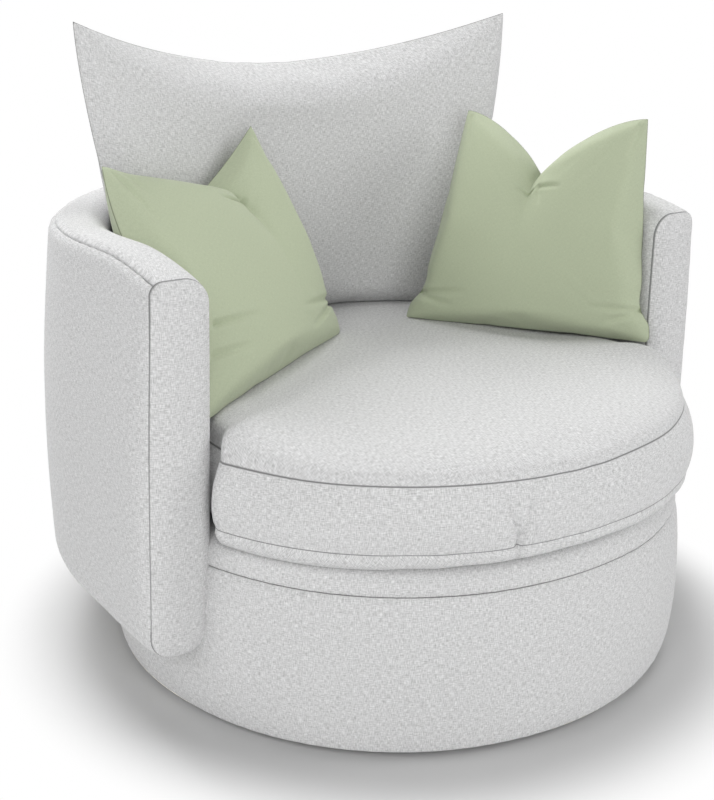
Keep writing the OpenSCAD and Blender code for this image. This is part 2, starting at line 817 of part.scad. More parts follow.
// The four corners of a scatter cushion, bottom left, bottom right, top right and top left. Each is
// given as shares of arm_in, in from the arm and forward of the pillow, and a share of scatter_h up
function scatter_corners(side, rest, places) = let (
  spots = [for (p = places)
    [side * arm_in * (1 - p[0]), scatter_back_y - arm_in * p[1], scatter_h * p[2]]],
  z = seat_height(spots[rest][0], spots[rest][1]) + lay_gap
) [for (c = spots) c + [0, 0, z]];

// A scatter cushion between four corners, with a chop of the given depth at place c in its top edge
function scatter_point(corners, depth, c, u, v, side) = let (
  draw = 0.07,
  s = (u * (1 - draw * (1 - v * v)) + 1) / 2,
  t = (v * (1 - draw * (1 - u * u)) + 1) / 2,
  low = corners[0] * (1 - s) + corners[1] * s,
  high = corners[3] * (1 - s) + corners[2] * s,
  dent = [0, 0, depth * exp(-pow((u - c) / 0.42, 2)) * t * t],
  across = corners[1] - corners[0] + corners[2] - corners[3],
  up = corners[3] - corners[0] + corners[2] - corners[1],
  out = cross(across, up) / norm(cross(across, up)),
  swell = scatter_t / 2 * pow((1 - pow(abs(u), 2.2)) * (1 - pow(abs(v), 2.2)), 0.6)
) low * (1 - t) + high * t - dent + out * side * swell;

module scatter_right() {
  corners = scatter_corners(1, 0, [[0.61, 0.145, 0], [0.027, 0.936, 0.016], [0.023, 0.845, 1.03], [0.3, 0.11, 1]]);
  color(green_cloth) pillow_form(
    function (u, v, side) scatter_point(corners, chop * 1.1, -0.1, u, v, side), 20);
}

module scatter_left() {
  corners = scatter_corners(-1, 1, [[0.034, 0.827, 0], [0.984, 0.193, 0], [0.727, -0.048, 0.984], [0, 0.136, 0.888]]);
  color(green_cloth) pillow_form(
    function (u, v, side) scatter_point(corners, chop * 0.7, 0.2, u, v, side), 20);
}

floor_felt();
plinth_disc();
lower_race();
lower_race_screws();
king_bolt();
king_washer();
king_nut();
swivel_balls();
ball_cage();
upper_race();
upper_race_bolts();
king_bush();
drum_floor_board();
hem_ring();
drum_posts();
side_panels();
drum_top_ring();
drum_board();
drum_padding();
drum_cover();
dust_cover();
spring_clips();
zigzag_springs();
deck_cloth();
deck_pad();
border_roll();
border_cover();
shell_sole();
shell_ribs();
shell_top_rail();
arm_front_boards();
shell_inner_board();
shell_outer_board();
shell_inner_padding();
shell_outer_padding();
shell_inner_cover();
shell_outer_cover();
arm_facing_left();
arm_facing_right();
fixing_blocks();
shell_bolts();
seat_cushion();
back_pillow();
scatter_left();
scatter_right();
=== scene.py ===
# %% [markdown]
# # A round swivel armchair, upholstered in code
# The chair comes from its workshop as bare solids: a drum on a swivel, a U-shaped shell for the arms
# and the back, and plain blocks for the cushions. This lesson gives it cloth, filling and thread.
# The frame is loaded once and never moved. Every new piece takes its place from it.

# %% Load the frame
import json
import math

import bmesh
import bpy
import numpy as np
from mathutils import Matrix, Vector
from mathutils.bvhtree import BVHTree


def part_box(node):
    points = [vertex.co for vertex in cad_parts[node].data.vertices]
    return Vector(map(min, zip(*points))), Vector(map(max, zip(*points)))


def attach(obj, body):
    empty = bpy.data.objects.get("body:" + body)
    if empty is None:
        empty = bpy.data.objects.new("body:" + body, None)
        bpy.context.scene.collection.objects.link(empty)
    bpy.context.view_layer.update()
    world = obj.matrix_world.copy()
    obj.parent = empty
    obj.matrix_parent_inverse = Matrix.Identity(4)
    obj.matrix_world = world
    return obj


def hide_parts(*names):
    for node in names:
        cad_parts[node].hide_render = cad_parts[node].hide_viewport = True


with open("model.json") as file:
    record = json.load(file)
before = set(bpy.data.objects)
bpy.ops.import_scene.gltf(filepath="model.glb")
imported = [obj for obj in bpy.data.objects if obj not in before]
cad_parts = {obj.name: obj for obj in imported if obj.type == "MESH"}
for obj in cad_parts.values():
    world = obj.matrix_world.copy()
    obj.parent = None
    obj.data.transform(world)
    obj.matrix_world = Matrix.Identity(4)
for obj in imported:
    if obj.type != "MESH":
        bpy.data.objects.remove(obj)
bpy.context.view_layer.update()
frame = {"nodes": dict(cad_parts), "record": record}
nodes = frame["nodes"]
scene = bpy.context.scene

# %% [markdown]
# ## Sizes
# Nothing is typed that the frame already knows. The boxes of a few nodes give the width between the
# arms, the heights of the seams and the radius of the drum, in metres. Only what the solids don't
# say, such as the radius of a rolled edge, is a number here.

# %% Sizes from the frame
facing_low, facing_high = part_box("arm_facing_right")
outer_low, outer_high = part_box("shell_outer_cover")
drum_low, drum_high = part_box("drum_cover")
border_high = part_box("border_cover")[1]
seat_low, seat_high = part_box("seat_cushion")

arm_in, arm_foot, arm_top = facing_low.x, facing_low.z, facing_high.z
arm_h = arm_top - arm_foot
arm_front = -outer_low.y
back_centre = outer_high.y - outer_high.x
wall_lean, wall_top, wall_foot, wall_belly = 0.010, 0.093, 0.100, 0.009
top_in_r, top_out_r, foot_in_r, foot_out_r = 0.038, 0.022, 0.040, 0.042
hem_z, seam_z, deck_z = drum_low.z, drum_high.z, border_high.z
drum_r = arm_in + 0.040
drum_draw, drum_belly, roll_r = 0.005, 0.011, 0.040
cloth_t, cloth_lift, seam_dip, seam_allowance = 0.003, 0.0014, 0.0030, 0.007
print(f"{2 * arm_in:.3f} m between the arms, which are {arm_top:.3f} m high")

# %% [markdown]
# ## Camera and light
# A camera is a place, a direction and a focal length. These three were solved from the round seams
# of the chair, which show as ellipses, and from its upright edges. The light is that of a plain
# studio: wide soft lamps all round. The strongest stands high behind, so that the top of the seat
# is bright, and the hollow under the pillow and the edge under the seat stay a little darker.

# %% Camera
picture_w, picture_h = 714, 800
focal_px = 1362.17
camera_at = Vector((-1.31499, -1.79468, 1.15591))
yaw, pitch, roll = 0.603, 0.328, 0.018
forward = Vector((math.sin(yaw) * math.cos(pitch), math.cos(yaw) * math.cos(pitch), -math.sin(pitch)))
level_right = Vector((math.cos(yaw), -math.sin(yaw), 0))
level_up = level_right.cross(forward)
right = math.cos(roll) * level_right + math.sin(roll) * level_up
up = math.cos(roll) * level_up - math.sin(roll) * level_right

bpy.ops.object.select_all(action="DESELECT")
bpy.ops.object.camera_add(location=camera_at)
camera = bpy.context.object
camera.name = "camera"
camera.rotation_euler = Matrix((right, up, -forward)).transposed().to_euler()
camera.data.lens = focal_px / picture_h * camera.data.sensor_width
camera.data.clip_start = 0.05
scene.camera = camera
scene.view_settings.view_transform = "Standard"
print(f"a picture of {picture_w} by {picture_h} from {camera_at.length:.2f} m away")

# %% Lamps
# Name, place, size in metres and power in watts; each is a square area lamp that faces the middle.
middle = Vector((0, 0, 0.45))
for name, place, size, watts in (
        ("key", (-2.4, -2.4, 2.9), 2.0, 46), ("front", (-0.8, -3.2, 1.2), 2.0, 36),
        ("side", (2.7, -2.3, 2.1), 1.8, 47), ("left", (-3.0, 0.3, 1.8), 1.8, 28),
        ("right", (2.6, 0.8, 2.8), 1.6, 27), ("top", (0.1, 0.0, 3.3), 1.2, 18),
        ("back", (-0.3, 2.6, 2.9), 1.6, 93)):
    bpy.ops.object.light_add(type="AREA", location=place)
    lamp = bpy.context.object
    lamp.name = name
    lamp.rotation_euler = (middle - Vector(place)).to_track_quat("-Z", "Y").to_euler()
    lamp.data.size = size
    lamp.data.energy = watts

# %% [markdown]
# ## Room and floor
# Materials are small graphs of nodes. One helper makes a node, another fills its inputs, so that each
# graph reads as a list. The camera sees the floor with a painted shadow: its own colour is darker close
# to the chair and fades to plain white further out, so that the picture has no horizon. For the light
# itself the floor is plain matt white.


# %% Node helpers
def fill(tree, node, inputs):
    """Sets inputs of a node: each value is a number, a colour, or a socket to join to it."""
    for key, value in inputs.items():
        if isinstance(value, bpy.types.NodeSocket):
            tree.links.new(value, node.inputs[key])
        else:
            node.inputs[key].default_value = value


def add(tree, kind, inputs=(), **settings):
    """A new shader node with these settings and inputs."""
    node = tree.nodes.new("ShaderNode" + kind)
    for key, value in settings.items():
        setattr(node, key, value)
    fill(tree, node, dict(inputs))
    return node


def math_node(tree, operation, a, b=0):
    """One Math node; each input is a socket or a number."""
    return add(tree, "Math", {0: a, 1: b}, operation=operation).outputs[0]


# %% World and floor
world = scene.world or bpy.data.worlds.new("studio")
scene.world = world
world.use_nodes = True
tree = world.node_tree
tree.nodes.clear()
ray = add(tree, "LightPath").outputs
mirrored = math_node(tree, "MAXIMUM", ray["Is Glossy Ray"], ray["Is Transmission Ray"])
room = add(tree, "Background", {"Color": (0.95, 0.97, 1.0, 1), "Strength": 0.05})
paper = add(tree, "Background", {"Color": (1, 1, 1, 1)})
backdrop = add(tree, "MixShader", {0: math_node(tree, "MAXIMUM", ray["Is Camera Ray"], mirrored),
                                   1: room.outputs[0], 2: paper.outputs[0]})
add(tree, "OutputWorld", {0: backdrop.outputs[0]})

floor_finish = bpy.data.materials.new("studio_floor")
floor_finish.use_nodes = True
tree = floor_finish.node_tree
tree.nodes.clear()
place = add(tree, "TexCoord").outputs["Object"]
reach = add(tree, "VectorMath", {0: place}, operation="LENGTH").outputs["Value"]
# Painted shadow: within 0.52 m of the middle the camera sees a grey diffuse floor, which fades to white
# emission by 0.70 m.
fade = add(tree, "MapRange", {"Value": reach, "From Min": 0.52, "From Max": 0.70},
           interpolation_type="SMOOTHSTEP")
shade = add(tree, "BsdfDiffuse", {"Color": (0.56, 0.56, 0.56, 1)})
white = add(tree, "Emission")
near = add(tree, "MixShader", {0: fade.outputs["Result"], 1: shade.outputs[0], 2: white.outputs[0]})
matt = add(tree, "BsdfDiffuse", {"Color": (0.90, 0.90, 0.90, 1)})
seen = add(tree, "MixShader", {0: add(tree, "LightPath").outputs["Is Camera Ray"],
                               1: matt.outputs[0], 2: near.outputs[0]})
add(tree, "OutputMaterial", {0: seen.outputs[0]})

bpy.ops.mesh.primitive_circle_add(vertices=96, radius=9, fill_type="NGON", location=(0, 0, 0))
floor = bpy.context.object
floor.name = "studio_floor"
floor.data.materials.append(floor_finish)

# %% [markdown]
# ## Cloth, seen close
# The grey cloth is a plain weave of uneven yarn: thick and thin stretches, called slubs, run along
# both the warp and the weft. Two noises, one stretched along each thread direction, give the slubs,
# and a fine grid of waves gives the weave its relief. The pattern is laid on each piece's own UV map,
# measured in metres, so the threads have one size all over the chair and turn with the panels.
# Each piece also carries a number at every point that says how near a seam is, and the cloth's colour
# is darkened there as painted shade, for the shadow in the groove where two panels turn in to their
# stitches.


# %% Cloth material
def new_material(name):
    """A node material, its tree and its surface shader."""
    mat = bpy.data.materials.new(name)
    mat.use_nodes = True
    return mat, mat.node_tree, mat.node_tree.nodes["Principled BSDF"]


def stretched_noise(tree, source, scale, detail=2.0):
    """Noise whose grain is drawn out by a different scale on each axis."""
    mapping = add(tree, "Mapping", {"Vector": source, "Scale": scale})
    noise = add(tree, "TexNoise", {"Vector": mapping.outputs[0], "Scale": 1.0, "Detail": detail})
    return noise.outputs["Fac"]


def blend_colours(tree, factor, dark, light):
    """Mixes two colours by a pattern."""
    mix = add(tree, "Mix", {"Factor": factor, "A": dark, "B": light}, data_type="RGBA")
    return mix.outputs["Result"]


def two_tones(tree, pattern, dark, light, low=0.35, high=0.65):
    """Dark where a pattern is below low, light where it is above high."""
    spread = add(tree, "MapRange", {"Value": pattern, "From Min": low, "From Max": high})
    return blend_colours(tree, spread.outputs[0], (*dark, 1), (*light, 1))


def coat(tree, shader, colour, height, depth, roughness, strength=0.6):
    """Joins a colour and a relief to the surface, and sets how rough it is."""
    bump = add(tree, "Bump", {"Height": height, "Distance": depth, "Strength": strength})
    fill(tree, shader, {"Base Color": colour, "Normal": bump.outputs[0], "Roughness": roughness})


def woven_cloth(name, dark, light, thread, slub, relief):
    """Plain weave of slubbed yarn on the UV map, with that thread width in metres; painted shade at seams."""
    mat, tree, shader = new_material(name)
    uv = add(tree, "UVMap").outputs[0]
    warp = stretched_noise(tree, uv, (1 / thread, 0.15 / thread, 1))
    weft = stretched_noise(tree, uv, (0.15 / thread, 1 / thread, 1))
    threads = math_node(tree, "ADD", warp, weft)
    # Painted shade: on the seams the colour darkens to half the dark yarn tone, for the shadow where the
    # panels turn in.
    seam = add(tree, "Attribute", attribute_name="near_seam").outputs["Fac"]
    crease = add(tree, "MapRange", {"Value": seam, "From Min": 0.85, "From Max": 0.98},
                 interpolation_type="SMOOTHSTEP")
    colour = blend_colours(tree, crease.outputs[0], two_tones(tree, threads, dark, light, 1 - slub, 1 + slub),
                           (*[0.50 * c for c in dark], 1))
    parts = add(tree, "SeparateXYZ", {0: uv}).outputs
    waves = [math_node(tree, "SINE", math_node(tree, "MULTIPLY", parts[i], math.pi / thread)) for i in (0, 1)]
    weave = math_node(tree, "MULTIPLY", *waves)
    height = math_node(tree, "ADD", math_node(tree, "MULTIPLY", weave, 0.3), threads)
    coat(tree, shader, colour, height, relief, 0.92, 0.5)
    fill(tree, shader, {"Specular IOR Level": 0.25, "Sheen Weight": 0.15, "Sheen Roughness": 0.5})
    return mat


grey_cloth = woven_cloth("grey_weave", (0.385, 0.385, 0.385), (0.80, 0.80, 0.80), 0.0012, 0.34, 0.0006)
green_cloth = woven_cloth("sage_weave", (0.395, 0.441, 0.308), (0.467, 0.518, 0.369), 0.0009, 0.34, 0.0003)
platform_cloth = woven_cloth("platform_weave", (0.055, 0.055, 0.06), (0.12, 0.12, 0.13), 0.0015, 0.3, 0.0005)
print("cloth:", grey_cloth.name, green_cloth.name, platform_cloth.name)

# %% [markdown]
# ## What is under the cloth
# The frame's wood, metal, foam and felt show only where a cushion is lifted or the chair is turned
# over, but each gets its own finish. These patterns read Object coordinates, because the solids have
# no UV map. Plywood shows its layers on its edges and long grain on its faces, so the pattern is told
# which way a board's thickness runs, and the object's own normal says what is an edge.


# %% Wood and board
def own_place(tree):
    """Object coordinates."""
    return add(tree, "TexCoord").outputs["Object"]


def plywood_finish(name, thickness_axis, layer_pair_t=0.0036, across_grain=260.0, along_grain=7.0):
    """Birch ply: grain on the faces, light and dark layers on the edges."""
    mat, tree, shader = new_material(name)
    place = add(tree, "TexCoord").outputs
    stretch = [across_grain] * 3
    stretch[2 if thickness_axis < 2 else 1] = along_grain
    grain = stretched_noise(tree, place["Object"], stretch, 5.0)
    through = add(tree, "SeparateXYZ", {0: place["Object"]}).outputs[thickness_axis]
    facing = add(tree, "SeparateXYZ", {0: place["Normal"]}).outputs[thickness_axis]
    layers = math_node(tree, "SINE", math_node(tree, "MULTIPLY", through, math.tau / layer_pair_t))
    edge = math_node(tree, "SUBTRACT", 1.0, math_node(tree, "ABSOLUTE", facing))
    bands = math_node(tree, "MULTIPLY", math_node(tree, "MULTIPLY", layers, edge), 0.16)
    pattern = math_node(tree, "ADD", grain, bands)
    tones = two_tones(tree, pattern, (0.52, 0.37, 0.21), (0.80, 0.66, 0.46))
    coat(tree, shader, tones, pattern, 0.0003, 0.62)
    return mat


def softwood_finish():
    """Pine: growth rings drawn out along the post, a little wavy."""
    mat, tree, shader = new_material("pine")
    place = own_place(tree)
    mapping = add(tree, "Mapping", {"Vector": place, "Scale": (55, 55, 3)})
    rings = add(tree, "TexWave", {"Vector": mapping.outputs[0], "Scale": 1.0, "Distortion": 3.0,
                                  "Detail": 2.0}, bands_direction="DIAGONAL").outputs["Fac"]
    tones = two_tones(tree, rings, (0.60, 0.42, 0.22), (0.86, 0.74, 0.53), 0.1, 0.9)
    coat(tree, shader, tones, stretched_noise(tree, place, (400, 400, 15), 3.0), 0.0003, 0.68)
    return mat


def hardboard_finish():
    """Pressed brown fibre: fine specks and a hint of relief."""
    mat, tree, shader = new_material("hardboard")
    fibre = stretched_noise(tree, own_place(tree), (500, 500, 380), 6.0)
    coat(tree, shader, two_tones(tree, fibre, (0.27, 0.18, 0.10), (0.46, 0.34, 0.22)), fibre, 0.0002, 0.55)
    return mat


plywood_flat = plywood_finish("birch_ply_flat", 2)
plywood_side = plywood_finish("birch_ply_side", 0)
plywood_front = plywood_finish("birch_ply_front", 1)
pine, hardboard = softwood_finish(), hardboard_finish()
print("wood:", plywood_flat.name, pine.name, hardboard.name)


# %% Metal, nylon, foam and felt
def cells(tree, source, scale):
    """Distance to the nearest of many scattered points: pores and dots."""
    return add(tree, "TexVoronoi", {"Vector": source, "Scale": scale}).outputs["Distance"]


def steel_finish():
    """Zinc-plated steel, brushed: the roughness runs in streaks."""
    mat, tree, shader = new_material("zinc_steel")
    streaks = stretched_noise(tree, own_place(tree), (1500, 90, 90), 3.0)
    rough = add(tree, "MapRange", {"Value": streaks, "To Min": 0.26, "To Max": 0.44})
    tones = two_tones(tree, streaks, (0.50, 0.51, 0.53), (0.66, 0.67, 0.69))
    coat(tree, shader, tones, streaks, 0.00005, rough.outputs[0], 0.3)
    fill(tree, shader, {"Metallic": 1.0})
    return mat


def nylon_finish():
    """Moulded nylon: nearly smooth, faintly cloudy."""
    mat, tree, shader = new_material("nylon")
    place = own_place(tree)
    cloud = stretched_noise(tree, place, (60, 60, 60), 3.0)
    tones = two_tones(tree, cloud, (0.78, 0.78, 0.73), (0.90, 0.90, 0.86))
    coat(tree, shader, tones, stretched_noise(tree, place, (900, 900, 900), 2.0), 0.00008, 0.42, 0.4)
    return mat


def foam_finish():
    """Cut foam: open pores of about a millimetre."""
    mat, tree, shader = new_material("cream_foam")
    pores = cells(tree, own_place(tree), 900)
    tones = two_tones(tree, pores, (0.66, 0.61, 0.46), (0.93, 0.90, 0.80), 0.05, 0.45)
    coat(tree, shader, tones, pores, 0.0006, 0.95)
    return mat


def fibre_finish(name, dark, light, dots, depth):
    """Matted fibres: felt without dots, and spun lining cloth with small welded dots."""
    mat, tree, shader = new_material(name)
    place = own_place(tree)
    fibre = stretched_noise(tree, place, (700, 500, 700), 8.0)
    if dots:
        fibre = math_node(tree, "ADD", fibre, math_node(tree, "MULTIPLY", cells(tree, place, dots), 0.35))
    coat(tree, shader, two_tones(tree, fibre, dark, light), fibre, depth, 0.97)
    fill(tree, shader, {"Sheen Weight": 0.2})
    return mat


steel, nylon, foam = steel_finish(), nylon_finish(), foam_finish()
felt = fibre_finish("felt", (0.05, 0.05, 0.05), (0.13, 0.13, 0.13), 0, 0.0008)
lining = fibre_finish("spun_lining", (0.06, 0.06, 0.06), (0.15, 0.15, 0.15), 700, 0.0004)
print("others:", steel.name, nylon.name, foam.name, felt.name, lining.name)

# %% Dress the solids
finishes = {"plywood": plywood_flat, "softwood": pine, "hardboard": hardboard, "steel": steel,
            "nylon": nylon, "foam": foam, "felt": felt, "black_cloth": lining,
            "grey_cloth": grey_cloth, "green_cloth": green_cloth}
upright = {"side_panels": plywood_side, "shell_ribs": plywood_front, "arm_front_boards": plywood_front}
for part in frame["record"]["subparts"]:
    node = nodes[part["node"]]
    finish = upright.get(part["node"], finishes[part["material_slot"]])
    if not node.material_slots:
        node.data.materials.append(finish)
    for held in node.material_slots:
        held.material = finish
print(len(nodes), "solids dressed")

# %% [markdown]
# ## Helpers for making pieces
# A finished piece keeps its object at the origin, with its place in its mesh, and rides on a body of
# the frame. Its UV map is worked out from where each corner of each face lies, in metres of cloth.


# %% Helpers for objects
def only(piece):
    """Selects one object alone and makes it the active one."""
    bpy.ops.object.select_all(action="DESELECT")
    piece.select_set(True)
    bpy.context.view_layer.objects.active = piece


def apply(piece, kind, **settings):
    """Adds a modifier with these settings and applies it."""
    modifier = piece.modifiers.new(kind.lower(), kind)
    for key, value in settings.items():
        setattr(modifier, key, value)
    only(piece)
    bpy.ops.object.modifier_apply(modifier=modifier.name)


def edit_all(piece):
    """Opens an object in edit mode with all of it selected."""
    only(piece)
    bpy.ops.object.mode_set(mode="EDIT")
    bpy.ops.mesh.select_all(action="SELECT")


def close_form(piece):
    """Turns all faces outward, leaves edit mode and writes the object's place into its mesh."""
    bpy.ops.mesh.select_all(action="SELECT")
    bpy.ops.mesh.normals_make_consistent(inside=False)
    bpy.ops.object.mode_set(mode="OBJECT")
    only(piece)
    bpy.ops.object.transform_apply(location=True, rotation=True, scale=True)


def new_piece(name, mesh):
    """An object for a mesh, in the scene."""
    piece = bpy.data.objects.new(name, mesh)
    scene.collection.objects.link(piece)
    return piece


def sewn(name, bm):
    """An object for what was built as a bmesh."""
    mesh = bpy.data.meshes.new(name)
    bm.to_mesh(mesh)
    bm.free()
    return new_piece(name, mesh)


def finish_piece(piece, material, body, slot, *replaced, angle=60):
    """Gives a piece its cloth, smooths it, and puts it in the frame."""
    piece.data.materials.clear()
    piece.data.materials.append(material)
    only(piece)
    bpy.ops.object.shade_smooth_by_angle(angle=math.radians(angle))
    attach(piece, body)
    if replaced:
        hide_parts(*replaced)
    print(piece.name, len(piece.data.polygons), "faces")


# %% Helpers for points
def corners(piece, kind="co"):
    """The vertices of a mesh as an array, or another triple of theirs."""
    values = np.empty(len(piece.data.vertices) * 3)
    piece.data.vertices.foreach_get(kind, values)
    return values.reshape(-1, 3)


def move_corners(piece, co):
    """Writes the vertices back."""
    piece.data.vertices.foreach_set("co", np.asarray(co, float).ravel())
    piece.data.update()


def lay_cloth(piece, across_along):
    """Writes the UV map from a function of corner places and face middles."""
    mesh = piece.data
    vertex = np.empty(len(mesh.loops), int)
    mesh.loops.foreach_get("vertex_index", vertex)
    count = np.empty(len(mesh.polygons), int)
    mesh.polygons.foreach_get("loop_total", count)
    face = np.repeat(np.arange(len(count)), count)
    co = corners(piece)[vertex]
    centre = np.zeros((len(count), 3))
    np.add.at(centre, face, co)
    centre /= count[:, None]
    uv = across_along(co, centre[face])
    layer = mesh.uv_layers.get("UVMap") or mesh.uv_layers.new(name="UVMap")
    layer.data.foreach_set("uv", np.asarray(uv, np.float32).ravel())


def mark_seams(piece, distance):
    """Stores how near each vertex is to a seam: 1 on it, 0 from a centimetre away; the cloth paints shade
    there.
    """
    held = piece.data.attributes
    near = held.get("near_seam") or held.new("near_seam", "FLOAT", "POINT")
    near.data.foreach_set("value", clamp(1 - np.asarray(distance, float) / 0.010))


# %% Helpers for form
def clamp(value):
    """Holds values between 0 and 1."""
    return np.clip(value, 0, 1)


def smooth(share):
    """Eases shares in at 0 and out at 1."""
    return share * share * (3 - 2 * share)


def arc(centre, r, start, stop, steps):
    """Points on an arc in a plane, by angle in degrees."""
    w = np.radians(np.linspace(start, stop, steps + 1))
    return [(centre[0] + r * math.cos(a), centre[1] + r * math.sin(a)) for a in w]


def pull(x, y, z):
    """Slow unevenness of stuffed cloth, in metres: a sum of a few waves, the same on every run."""
    return (0.0010 * np.sin(9 * x + 4 * y + 1.3) * np.sin(7 * z + 3 * y + 0.4)
            + 0.0007 * np.sin(17 * x - 11 * y + 2.1) * np.sin(15 * z + 5 * x + 1.1)
            + 0.0004 * np.sin(31 * y + 23 * x) * np.sin(29 * z - 13 * y + 0.7))


def gathers(along, from_seam, reach, size):
    """Small pleats that a line of stitches pulls in, fading away from the seam."""
    pleat = np.sin(along * 205) + 0.7 * np.sin(along * 131 + 1.7) + 0.5 * np.sin(along * 317 + 0.6)
    return size * pleat * np.exp(-np.clip(from_seam, 0, None) / reach)


# %% [markdown]
# ## The shell
# The arms and the back are one padded wall, bent into a U. Its section is a tall rounded bar: a round
# inner top edge, a tighter outer one, and rounded feet. The cloth is cut in three: an outer panel, an
# inner panel that also covers the top, and a facing on the front of each arm. A section is drawn as a
# chain of points, pushed along one arm, spun round the back, and pushed along the other arm.


# %% Section of the wall
lean = math.degrees(math.atan(wall_lean / arm_h))
foot_in = arm_in + wall_lean
tilt = math.degrees(math.atan((foot_in + wall_foot - arm_in - wall_top) / (arm_h - foot_out_r - top_out_r)))
top_out_at = (arm_in + wall_top - top_out_r, arm_top - top_out_r)
seam_turn = 50


def tuck(point):
    """A point of the seam allowance, behind the seam."""
    return tuple(c + (p - c) * (1 - seam_allowance / top_out_r) for p, c in zip(point, top_out_at))


def side_line(start, end, steps, belly=0.0):
    """Points between two places, bowed out in the middle."""
    shares = [i / steps for i in range(1, steps)]
    return [(start[0] * (1 - t) + end[0] * t + belly * math.sin(math.pi * t),
             start[1] * (1 - t) + end[1] * t) for t in shares]


def outer_section():
    """From the seam on the outer top edge, down the outside and round under the foot."""
    top = arc(top_out_at, top_out_r, seam_turn, tilt, 4)
    foot = arc((foot_in + wall_foot - foot_out_r, arm_foot + foot_out_r), foot_out_r, tilt, -90, 9)
    return [tuck(top[0])] + top + side_line(top[-1], foot[0], 24, wall_belly) + foot


def inner_section():
    """From under the foot, up the inside and over the top to the seam."""
    foot = arc((foot_in + foot_in_r, arm_foot + foot_in_r), foot_in_r, 270, 180 + lean, 8)
    top = arc((arm_in + top_in_r, arm_top - top_in_r), top_in_r, 180 + lean, 90, 9)
    edge = arc(top_out_at, top_out_r, 90, seam_turn, 4)
    return foot + side_line(foot[-1], top[0], 26) + top + edge + [tuck(edge[-1])]


def draw_chain(name, points):
    """A chain of edges, drawn from its first point as by hand."""
    bpy.ops.object.select_all(action="DESELECT")
    bpy.ops.mesh.primitive_plane_add(size=0.01, location=points[0])
    piece = bpy.context.object
    piece.name = name
    bpy.ops.object.mode_set(mode="EDIT")
    bpy.ops.mesh.merge(type="CENTER")
    for a, b in zip(points, points[1:]):
        bpy.ops.mesh.extrude_vertices_move(TRANSFORM_OT_translate={"value": Vector(b) - Vector(a)})
    bpy.ops.mesh.select_all(action="SELECT")
    return piece


def push(x, y, z):
    """Extrudes the selected edges and moves the new ones."""
    bpy.ops.mesh.extrude_edges_move(TRANSFORM_OT_translate={"value": (x, y, z)})


def bend_round_chair(piece, front_steps=(0.003, 0.004, 0.006, 0.009), arm_steps=24, back_steps=84):
    """Pushes a selected section along one arm, round the back and along the other arm."""
    long_step = (arm_front + back_centre - sum(front_steps)) / arm_steps
    steps = list(front_steps) + [long_step] * arm_steps
    for step in steps:
        push(0, step, 0)
    bpy.ops.mesh.spin(steps=back_steps, angle=-math.pi, center=(0, back_centre, 0), axis=(0, 0, 1))
    for step in reversed(steps):
        push(0, -step, 0)
    bpy.ops.mesh.select_all(action="SELECT")
    bpy.ops.mesh.remove_doubles(threshold=0.0004)
    close_form(piece)


# %% Places along the U
def u_place(co):
    """Distance out from the middle line of the U, distance along it from an arm's front, and outward."""
    x, y = co[:, 0], co[:, 1] - back_centre
    behind = y > 0
    out = np.where(behind, np.hypot(x, y), np.abs(x))
    turn = np.arctan2(np.where(behind, y, 0), np.where(behind, x, np.sign(x)))
    radius = arm_in + wall_top / 2
    along = np.where(behind, turn * radius, np.where(x > 0, y, np.pi * radius - y))
    away = np.where(behind[:, None], np.stack([x, y], 1) / np.maximum(out, 1e-9)[:, None],
                    np.stack([np.sign(x), 0 * x], 1))
    return out, along, away


def wall_shares(co, out):
    """Share of the wall's height, and how far each point is towards its outer and its inner side."""
    half = wall_top / 2
    return (clamp((co[:, 2] - arm_foot) / arm_h), clamp((out - arm_in - half) / half),
            clamp(1 - (out - arm_in) / half))


def outer_cloth(co, centre):
    """Cloth on the outside: along the U one way, up the wall the other way."""
    return np.stack([u_place(co)[1], co[:, 2]], 1)


def inner_cloth(co, centre):
    """Cloth on the inside: the same, and on over the top."""
    out, along, _ = u_place(co)
    over = np.maximum(out - arm_in, 0) * (co[:, 2] > (arm_foot + arm_top) / 2)
    return np.stack([along, co[:, 2] + over], 1)


def bow(height):
    """1 half way up the wall, and nearly 0 at its foot and its top."""
    return np.sin(np.pi * np.clip(height, 0.02, 0.98))


def turn_in(height, from_front, edge_roll=0.0095, reach=0.045):
    """How far the outside turns in round the front edge of an arm, to the facing's seam."""
    return edge_roll * bow(height) ** 0.7 * (1 - clamp(from_front / reach)) ** 2


def turn_out(height, from_front, swell=0.0020, reach=0.030):
    """How far the inside of an arm swells towards the seat at its front edge."""
    return swell * bow(height) ** 0.5 * np.exp(-from_front / reach)


# %% [markdown]
# Cloth is never flat where it is sewn. The panels dip at their seams, small gathers run off the stitches,
# and the stuffing swells unevenly between them. The wall also rises a little behind the arms' fronts.


# %% Padding of the shell
seam_point = outer_section()[1]
shell_fullness, shell_rise = 0.004, 0.020
front_fade, seam_fade, free_from, full_from = 0.007, 0.006, 0.012, 0.05
rise_end, rise_fall, back_loss = 0.15, 0.40, 0.55


